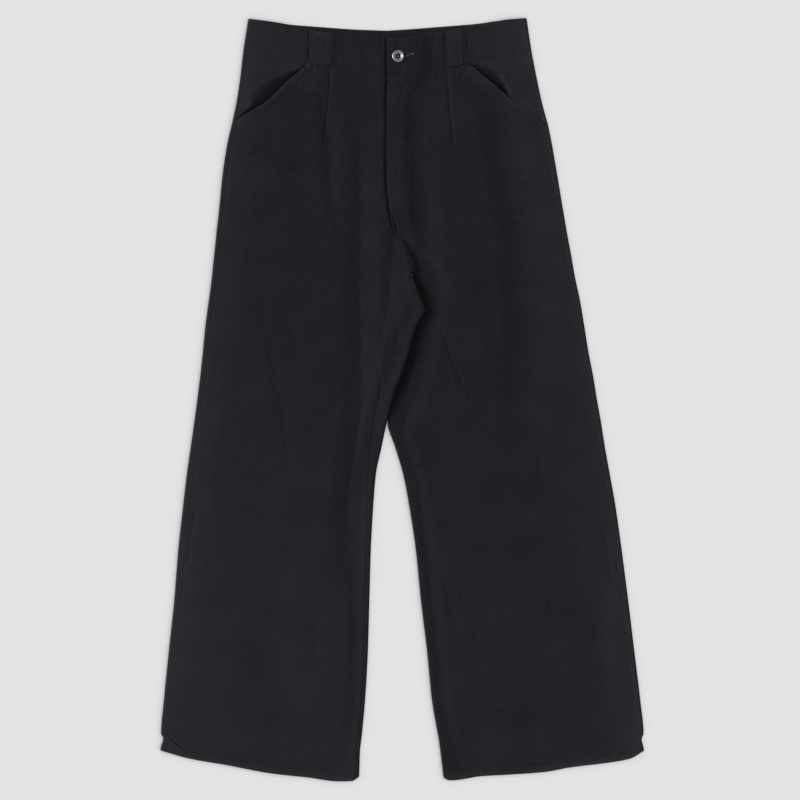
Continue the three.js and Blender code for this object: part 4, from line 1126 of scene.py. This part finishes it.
def cloth_sheet(name, grid, wear, fade, thick, rim):
    """A closed thin shell on a grid: its outer face is up where the cloth lies on top."""
    rows, columns = grid.shape[:2]
    down = np.gradient(grid, axis=0)
    across = np.gradient(grid, axis=1)
    normal = np.cross(down, across)
    normal /= np.maximum(np.linalg.norm(normal, axis=-1, keepdims=True), 1e-9)
    facing = np.sign(normal[rows // 2, 0, 2])
    half = np.full((rows, columns), CLOTH / 2) if thick is None else thick
    soft = half.copy()
    for line in (np.s_[0, :], np.s_[-1, :], np.s_[:, 0], np.s_[:, -1]):
        soft[line] = half[line] * rim
    outer = grid + normal * facing * soft[..., None]
    under = grid - normal * facing * soft[..., None]
    points = np.concatenate([outer.reshape(-1, 3), under.reshape(-1, 3)])
    ids = np.arange(rows * columns).reshape(rows, columns)
    low = ids + rows * columns
    a, b, c, d = ids[:-1, :-1], ids[1:, :-1], ids[1:, 1:], ids[:-1, 1:]
    faces = [np.stack([a, b, c, d], -1).reshape(-1, 4)]
    faces.append(np.stack([a, d, c, b], -1).reshape(-1, 4) + rows * columns)
    faces.append(np.stack([ids[:-1, 0], low[:-1, 0], low[1:, 0], ids[1:, 0]], -1))
    faces.append(np.stack([ids[:-1, -1], ids[1:, -1], low[1:, -1], low[:-1, -1]], -1))
    faces.append(np.stack([ids[0, :-1], ids[0, 1:], low[0, 1:], low[0, :-1]], -1))
    faces.append(np.stack([ids[-1, :-1], low[-1, :-1], low[-1, 1:], ids[-1, 1:]], -1))
    faces = np.concatenate(faces)
    if facing < 0:
        faces = faces[:, ::-1]
    uv = lay_length(grid).reshape(-1, 2)
    # The fade attribute holds painted light and shade as well as the dye's fade; wear holds a painted
    # highlight at the pocket mouths too.
    layers = {"wear": np.tile(wear.reshape(-1), 2), "fade": np.tile(fade.reshape(-1), 2)}
    return add_mesh(name, points, faces, layers, np.concatenate([uv, uv]))


def resample(path, pitch):
    """Points a pitch apart along a path of (x, y) points, and the direction at each."""
    path = np.array(path, float)
    lengths = np.concatenate([[0], np.cumsum(np.linalg.norm(np.diff(path, axis=0), axis=1))])
    count = max(1, int(lengths[-1] / pitch))
    at = (np.arange(count) + 0.5) * lengths[-1] / count
    ahead = [np.interp(at + 0.5, lengths, path[:, i]) for i in (0, 1)]
    behind = [np.interp(at - 0.5, lengths, path[:, i]) for i in (0, 1)]
    points = np.stack([np.interp(at, lengths, path[:, i]) for i in (0, 1)], -1)
    way = np.stack(ahead, -1) - np.stack(behind, -1)
    return points, way / np.maximum(np.linalg.norm(way, axis=1, keepdims=True), 1e-9)


def stitch_row(path, surface, pitch=STITCH_PITCH, length=STITCH_LENGTH, width=THREAD_WIDTH, *, seed):
    """Threads lying on a surface: the points and faces of a row of small tapered loops."""
    sides, rings = 6, 5
    last = sides * (rings - 1)
    centres, way = resample(path, pitch)
    rng = np.random.default_rng(seed)
    turn = rng.normal(0, STITCH_TURN, len(centres))
    cos, sin = np.cos(turn), np.sin(turn)
    way = np.stack([way[:, 0] * cos - way[:, 1] * sin, way[:, 0] * sin + way[:, 1] * cos], -1)
    stations = np.array([-0.5, -0.36, 0, 0.36, 0.5])
    swell = np.array([0.35, 0.9, 1.0, 0.9, 0.35])
    lift = np.array([-0.22, -0.02, 0.06, -0.02, -0.22])
    angles = spaced(0, 2 * math.pi, sides)
    along = centres[:, None, :] + way[:, None, :] * (stations * length)[None, :, None]
    height = surface(along[..., 0], along[..., 1]) + lift
    side = np.stack([-way[:, 1], way[:, 0]], -1)
    radius = width / 2 * swell
    offset = side[:, None, None, :] * (radius[:, None] * np.cos(angles))[None, :, :, None]
    xy = along[:, :, None, :] + offset
    z = height[:, :, None] + (0.7 * radius[:, None] * np.sin(angles))[None]
    points = np.concatenate([xy, z[..., None]], -1).reshape(-1, 3)
    faces = []
    for ring in range(0, last, sides):
        for k in range(sides):
            n = (k + 1) % sides
            faces.append((ring + k, ring + n, ring + sides + n, ring + sides + k))
    faces += [(5, 4, 3, 0), (3, 2, 1, 0)]
    faces += [(last, last + 1, last + 2, last + 3), (last, last + 3, last + 4, last + 5)]
    start = (np.arange(len(centres)) * sides * rings)[:, None, None]
    return points, (np.array(faces)[None] + start).reshape(-1, 4)


def tack(start, end, step, surface, *size, seed):
    """A bar tack: three rows of close stitches, each a step beside the last."""
    rows = []
    for k in (-1, 0, 1):
        path = [(x + k * step[0], y + k * step[1]) for x, y in (start, end)]
        rows.append(stitch_row(path, surface, *size, seed=seed))
    return rows


def stitch_piece(name, rows, thread="thread"):
    """One piece from several rows of stitches."""
    points, faces, count = [], [], 0
    for row_points, row_faces in rows:
        points.append(row_points)
        faces.append(row_faces + count)
        count += len(row_points)
    piece = add_mesh(name, np.concatenate(points), np.concatenate(faces))
    piece.data.materials.append(MATERIALS[thread])
    return piece


def nodes_of(name):
    """A new material, its node tree and its shader."""
    material = bpy.data.materials.new(name)
    material.use_nodes = True
    tree = material.node_tree
    tree.nodes.clear()
    output = tree.nodes.new("ShaderNodeOutputMaterial")
    shader = tree.nodes.new("ShaderNodeBsdfPrincipled")
    tree.links.new(shader.outputs["BSDF"], output.inputs["Surface"])
    return material, tree, shader


def add_node(tree, kind, inputs=None, **settings):
    """A node, with another node's output or a value in each named input."""
    node = tree.nodes.new(kind)
    for key, value in settings.items():
        setattr(node, key, value)
    for key, value in (inputs or {}).items():
        if isinstance(value, bpy.types.NodeSocket):
            tree.links.new(value, node.inputs[key])
        else:
            node.inputs[key].default_value = value
    return node


def math_node(tree, operation, *values):
    return add_node(tree, "ShaderNodeMath", dict(enumerate(values)), operation=operation).outputs[0]


def noise(tree, place, scale, detail, stretch=None):
    if stretch:
        place = add_node(tree, "ShaderNodeMapping", {"Vector": place, "Scale": stretch}).outputs[0]
    inputs = {"Vector": place, "Scale": scale, "Detail": detail}
    return add_node(tree, "ShaderNodeTexNoise", inputs).outputs[0]


def spread(tree, value, *ends):
    """A value with one range, from low to high, laid onto another."""
    inputs = {0: value} | dict(enumerate(ends, 1))
    return add_node(tree, "ShaderNodeMapRange", inputs).outputs[0]


def blend(tree, factor, a, b):
    mixed = add_node(tree, "ShaderNodeMix", {"Factor": factor, "A": a, "B": b}, data_type="RGBA")
    return mixed.outputs["Result"]


def weighted(tree, total, *terms):
    """A total with values added to it, each by its own weight."""
    for value, weight in terms:
        total = math_node(tree, "MULTIPLY_ADD", value, weight, total)
    return total


def threads(tree, length, width):
    """A wave across the threads of a weave that are a width in metres apart."""
    return math_node(tree, "SINE", math_node(tree, "MULTIPLY", length, 2 * math.pi / width))


def finish_material(tree, shader, colour, height, strength, distance, **values):
    bump = add_node(tree, "ShaderNodeBump", {"Height": height, "Strength": strength, "Distance": distance})
    tree.links.new(colour, shader.inputs["Base Color"])
    tree.links.new(bump.outputs[0], shader.inputs["Normal"])
    for name, value in values.items():
        shader.inputs[name.replace("_", " ")].default_value = value


def cloth_material():
    """Black cotton: a fine weave with sparse pale slubs, faint mottling, worn edges, and painted light and
    shade carried by its fade and wear.
    """
    material, tree, shader = nodes_of("black_cloth")
    uv = add_node(tree, "ShaderNodeUVMap", uv_map="cloth").outputs["UV"]
    along = add_node(tree, "ShaderNodeSeparateXYZ", {0: uv}).outputs
    weave = math_node(tree, "MULTIPLY", threads(tree, along[0], WARP), threads(tree, along[1], WEFT))
    slub = spread(tree, noise(tree, uv, 1, 1, (110, 760, 1)), 0.63, 0.76, 0, 1)
    down = spread(tree, noise(tree, uv, 1, 1, (1100, 60, 1)), 0.3, 0.7, -0.5, 0.5)
    broad = noise(tree, uv, 22, 3)
    fleck = noise(tree, uv, 170, 2)
    speckle = noise(tree, uv, 420, 2)
    fade_and_shade = add_node(tree, "ShaderNodeAttribute", attribute_name="fade").outputs["Fac"]
    worn = add_node(tree, "ShaderNodeAttribute", attribute_name="wear").outputs["Fac"]
    tone = weighted(tree, CLOTH_TONE, (broad, 0.4), (down, 0.07), (fleck, 0.45), (weave, 0.06), (slub, 0.45),
                    (speckle, 0.5), (fade_and_shade, 0.5))
    patchy = spread(tree, noise(tree, uv, 160, 3), 0.35, 0.65, 0.15, 0.85)
    colour = blend(tree, tone, CLOTH_DARK, CLOTH_LIGHT)
    colour = blend(tree, math_node(tree, "MULTIPLY", worn, patchy), colour, CLOTH_WORN)
    # Painted shade: where the fade attribute is below 0 the colour turns towards near black.
    painted_shade = math_node(tree, "MAXIMUM", math_node(tree, "MULTIPLY", fade_and_shade, -1), 0)
    colour = blend(tree, painted_shade, colour, CLOTH_PAINTED_SHADE)
    height = weighted(tree, 0, (weave, 0.5), (slub, 0.9), (speckle, 1.6), (down, 1))
    finish_material(tree, shader, colour, height, 0.5, 0.00008, Roughness=0.93, Specular_IOR_Level=0.1,
                    Sheen_Weight=0.02, Sheen_Roughness=0.6)
    return material


def thread_material(name, dark, light):
    material, tree, shader = nodes_of(name)
    grain = noise(tree, add_node(tree, "ShaderNodeTexCoord").outputs["Object"], 900, 2)
    colour = blend(tree, grain, dark, light)
    finish_material(tree, shader, colour, grain, 0.4, 0.0001, Roughness=0.85, Specular_IOR_Level=0.1)
    return material


def metal_material():
    """Dark plated metal with fine scuffs that catch the light."""
    material, tree, shader = nodes_of("gunmetal")
    scuffs = noise(tree, add_node(tree, "ShaderNodeTexCoord").outputs["Object"], 700, 4)
    colour = blend(tree, scuffs, METAL_DARK, METAL_LIGHT)
    tree.links.new(spread(tree, scuffs, 0.3, 0.7, 0.28, 0.46), shader.inputs["Roughness"])
    finish_material(tree, shader, colour, scuffs, 0.15, 0.00005, Metallic=1.0)
    return material


def floor_material():
    material, _, shader = nodes_of("pale_floor")
    shader.inputs["Base Color"].default_value = FLOOR
    shader.inputs["Roughness"].default_value = 0.9
    return material


MATERIALS = {
    "cloth": cloth_material(),
    "thread": thread_material("black_thread", THREAD_DARK, THREAD_LIGHT),
    "worn_thread": thread_material("worn_thread", WORN_THREAD_DARK, WORN_THREAD_LIGHT),
    "pale_thread": thread_material("pale_thread", PALE_THREAD_DARK, PALE_THREAD_LIGHT),
    "metal": metal_material(),
    "recess": thread_material("dark_recess", RECESS_PAINTED_SHADE, RECESS_PAINTED_SHADE),
    "floor": floor_material(),
}


def dress(node, kind, grid, wear, fade, thick=None):
    """The cloth that stands for a node, with the edges of its cut as full as CUTS gives."""
    flat, area, rim = CUTS[kind]
    cloth = cloth_sheet(node.replace(kind, kind + "_cloth"), grid, wear, fade, thick, rim)
    cloth.data.materials.append(MATERIALS["cloth"])
    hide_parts(node)


def dress_half(half):
    """The cloth of a half's front, back, pocket and belt loop."""
    grids = {"front": front_grid, "back": back_grid, "hip": hip_grid, "belt_loop": loop_grid}
    for kind, grid_of in grids.items():
        grid, wear = grid_of(half)
        fade_and_shade = hip_fade_and_painted_shadow if kind == "hip" else fade_and_painted_light_of
        thick = np.full(wear.shape, LOOP_CLOTH / 2) if kind == "belt_loop" else None
        dress(f"{kind}_{half.name}", kind, grid, wear, fade_and_shade(half, grid[..., 0], grid[..., 1]), thick)


def dress_waistband():
    grid, wear, thick = waistband_grid()
    x, y = grid[..., 0], grid[..., 1]
    sides = np.where(x < -BAND_MIDDLE_X, fade_and_painted_light_of(HALVES["right"], x, y), fade_and_painted_light_of(HALVES["left"], x, y))
    dress("waistband", "waistband", grid, wear, mix(sides, BAND_FADE, near_middle(x)), thick)


def lathe(name, profile, material="metal"):
    """A turned piece round the button's axis from (radius, height) points that close on themselves."""
    profile = np.array(profile, float)
    base = float(band_z(HALVES["left"], np.array(BUTTON_AT[0]))) + BAND / 2 + SEAM_GAP
    angles = spaced(0, 2 * math.pi, BUTTON_SEGMENTS)
    ring = np.stack([np.cos(angles), np.sin(angles)], -1)
    xy = profile[:, None, :1] * ring[None] + np.array(BUTTON_AT)
    z = np.broadcast_to(profile[:, 1:2] + base, xy.shape[:2])
    points = np.concatenate([xy, z[..., None]], -1).reshape(-1, 3)
    ids = np.arange(len(points)).reshape(len(profile), -1)
    beside, above = np.roll(ids, -1, 1), np.roll(ids, -1, 0)
    faces = np.stack([above, np.roll(above, -1, 1), beside, ids], -1)
    piece = add_mesh(name, points, faces.reshape(-1, 4))
    piece.data.materials.append(MATERIALS[material])
    return piece


def button():
    """A jeans button: a domed rim round a sunk middle with the head of its rivet; the middle is a near-black
    disc of painted shade.
    """
    r, hole, h = BUTTON_RADIUS, BUTTON_HOLE, BUTTON_HEIGHT
    dome = [(r - 1.3 + 1.3 * math.cos(a), 1.0 + (h - 1.0) * math.sin(a)) for a in np.linspace(-0.3, 1.5, 9)]
    face = [(r - 2.2, h - 0.15), (r - 2.9, h - 0.45), (r - 3.6, h - 0.8), (hole + 0.9, h - 1.05)]
    lip = [(hole + 0.5, h - 1.05), (hole + 0.2, h - 1.15), (hole, 0.9), (hole, 0.4)]
    ring = lathe("button_face", [(hole + 0.5, 0.05), (r - 1.5, 0.05)] + dome + face + lip)
    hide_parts("button_ring")
    # Painted shade: a near-black disc fills the hole in place of the rivet's metal.
    floor = [(0.02, 0.05), (0.02, 0.6), (hole - 0.35, 0.5), (hole - 0.35, 0.05)]
    middle = lathe("button_middle", floor, "recess")
    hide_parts("button_rivet")
    lathe("button_rivet_head", [(0.02, 0.6), (0.02, 1.44), (0.4, 1.4), (0.8, 1.2), (1.05, 0.9), (1.2, 0.6)])


def on_front(half):
    """The height of the top of a front's cloth."""
    return lambda x, y: front_z(half, x, y) + CLOTH / 2


def on_band(half):
    """The height of the top of the waistband's cloth."""
    def surface(x, y):
        return band_z(half, x) + band_relief(x, up_band(half, half.share(x, y), y, 0)) + BAND / 2
    return surface


def on_loop(half):
    """The height of the top of a belt loop."""
    def surface(x, y):
        return loop_z(half, x, up_band(half, half.share(x, WAIST_ROW), y, SEAM_GAP)) + LOOP_CLOTH / 2
    return surface


def up_band(half, share, y, gap):
    """How far up the waistband a height is: 0 at a gap above its seam, and 1 at its top."""
    seam = half.edge("seam", share) + gap
    return (y - seam) / (half.edge("front_top", share) - seam)


def along_edge(half, first, last, y_of, n=120):
    """A path across a half, from one share of its width to another, at heights given by the share."""
    shares = np.linspace(first, last, n)
    y = y_of(shares)
    x = mix(half.at("inner", y), half.at("outer", y), shares)
    return np.stack([x, y], -1)


def down_leg(first, last, x_of):
    """A path down a leg between two heights."""
    y = np.linspace(first, last, 160)
    return np.stack([x_of(y), y], -1)


def mouth_path(half, off):
    """A path beside the pocket's mouth, a length off it."""
    y = np.linspace(half.mouth_top - 0.5, half.mouth_end, 60)
    edge = np.stack([half.mouth_x(y), y], -1)
    way = np.gradient(edge, axis=0)
    way /= np.linalg.norm(way, axis=1, keepdims=True)
    inward = np.stack([-way[:, 1], way[:, 0]], -1) * half.side * -1
    return edge + inward * off


def sew_half(half):
    """The rows of stitches along a half's hem, pocket, inseam and waistband."""
    front, band = on_front(half), on_band(half)
    hem = along_edge(half, *HEM_STITCHES, lambda share: hem_top(half, share) - 0.1)
    inseam = down_leg(*INSEAM_STITCHES_Y, lambda y: half.at("inner", y) + half.side
                      * (half.at("inseam", y) + INSEAM_STITCHES_IN))
    first = 0.01 if half.side > 0 else 0
    low = along_edge(half, first, 0.56, lambda share: half.edge("seam", share) + 2.4)
    high = along_edge(half, first + 0.01, 0.985, lambda share: half.edge("front_top", share) - 2.2)
    stitch_piece(f"hem_stitches_{half.name}", [stitch_row(hem, front, seed=11)])
    pocket = mouth_path(half, MOUTH_TURN)
    stitch_piece(f"pocket_stitches_{half.name}", [stitch_row(pocket, front, 2.9, seed=13)])
    stitch_piece(f"inseam_stitches_{half.name}", [stitch_row(inseam, front, seed=17)])
    rows = [stitch_row(low, band, seed=19), stitch_row(high, band, seed=23)]
    if half.side > 0:
        rows.append(stitch_row([(LAP_STITCH_X, 454), (LAP_STITCH_X, 500)], band, seed=29))
    stitch_piece(f"waistband_stitches_{half.name}", rows)


def sew_fly():
    """The fly's curved row and its tacks, and the row down the seam below it."""
    left = HALVES["left"]
    surface = on_front(left)
    rows = [stitch_row(J_STITCH, surface, seed=31)]
    for x, y in FLY_TACKS:
        rows += tack((x - 4, y), (x + 4, y), (0, 0.9), surface, 2.4, 2.6, seed=35)
    rows += tack(*FLY_FOOT, (0, 0.8), surface, 2.2, 2.4, seed=37)
    stitch_piece("fly_stitches", rows, "worn_thread")
    seam = down_leg(*RISE_STITCHES_Y, lambda y: left.at("inner", y) + RISE_STITCHES_IN)
    stitch_piece("rise_stitches", [stitch_row(seam, surface, seed=39)])


def sew_buttonhole():
    """The buttonhole's two edges in close stitches, which meet at the bar beyond the button."""
    surface = on_band(HALVES["left"])
    rows = []
    for start, end, width in BUTTONHOLE:
        rows.append(stitch_row([start, end], surface, 0.9, 1.5, width, seed=41))
    rows += tack(*BUTTONHOLE_BAR, (0.7, 0), surface, 4, 3.2, 1, seed=43)
    stitch_piece("buttonhole_stitches", rows, "pale_thread")


def sew_loop(half):
    """A belt loop's side row, and the tacks or the box of stitches that hold its ends."""
    low, high = LOOPS[half.name]
    surface = on_loop(half)
    share = half.share(np.array((low[0] + low[1]) / 2), WAIST_ROW)
    bottom = float(half.edge("seam", share)) + 3
    top = float(half.edge("front_top", share)) - 4
    rows = [stitch_row([(low[1] - 2.2, bottom), (high[1] - 2.2, top)], surface, seed=47)]
    for y in (bottom, bottom + 4.5):
        rows.append(stitch_row([(low[0] + 3, y), (high[1] - 5, y)], surface, 1.5, 1.8, 0.8, seed=53))
    if half.side < 0:
        left, right, foot = high[1] - 17, high[1] - 3, top - 13
        box = [(left, top), (right, top), (right, foot), (left, foot), (left, top)]
        rows.append(stitch_row(box, surface, 1.7, 2, 0.8, seed=59))
    else:
        for y in (top, top - 4.5, top - 9):
            rows.append(stitch_row([(low[0] + 4, y), (high[1] - 4, y)], surface, 1.7, 1.9, 0.8, seed=61))
    stitch_piece(f"loop_stitches_{half.name}", rows, "worn_thread")


def camera():
    data = bpy.data.cameras.new("camera")
    data.sensor_width = SENSOR_WIDTH
    data.lens = SENSOR_WIDTH * CAMERA_HEIGHT / VIEW_WIDTH
    eye = bpy.data.objects.new("camera", data)
    eye.location = (*VIEW_CENTRE, CAMERA_HEIGHT)
    bpy.context.scene.collection.objects.link(eye)
    bpy.context.scene.camera = eye


def lamp(name, direction, softness, energy):
    data = bpy.data.lights.new(name, "SUN")
    data.angle = math.radians(softness)
    data.energy = energy
    made = bpy.data.objects.new(name, data)
    made.rotation_euler = Vector(direction).to_track_quat("Z", "Y").to_euler()
    bpy.context.scene.collection.objects.link(made)
    return made


def aim(light, piece, state):
    """Keeps a lamp's light to one piece, or off it."""
    group = bpy.data.collections.new(light.name + "_reach")
    group.objects.link(piece)
    group.collection_objects[0].light_linking.link_state = state
    light.light_linking.receiver_collection = group


def studio():
    """A pale floor, an even sky, and the two lights with what each of them lights."""
    bpy.context.scene.view_settings.view_transform = "Standard"
    world = bpy.data.worlds.new("studio")
    world.use_nodes = True
    sky = world.node_tree.nodes["Background"]
    sky.inputs["Color"].default_value = SKY_COLOUR
    sky.inputs["Strength"].default_value = SKY_LIGHT
    bpy.context.scene.world = world
    mesh = bpy.data.meshes.new("pale_floor")
    corners = [(-1, -1), (1, -1), (1, 1), (-1, 1)]
    mesh.from_pydata([(x * FLOOR_REACH, y * FLOOR_REACH, 0) for x, y in corners], [], [(0, 1, 2, 3)])
    mesh.materials.append(MATERIALS["floor"])
    floor = bpy.data.objects.new("pale_floor", mesh)
    bpy.context.scene.collection.objects.link(floor)
    aim(lamp("key", KEY_FROM, KEY_SOFTNESS, KEY_LIGHT), floor, "EXCLUDE")
    aim(lamp("overhead", OVERHEAD_FROM, OVERHEAD_SOFTNESS, OVERHEAD_LIGHT), floor, "INCLUDE")


camera()
studio()
for each_half in HALVES.values():
    dress_half(each_half)
dress_waistband()
button()
for each_half in HALVES.values():
    sew_half(each_half)
sew_fly()
sew_buttonhole()
for each_half in HALVES.values():
    sew_loop(each_half)
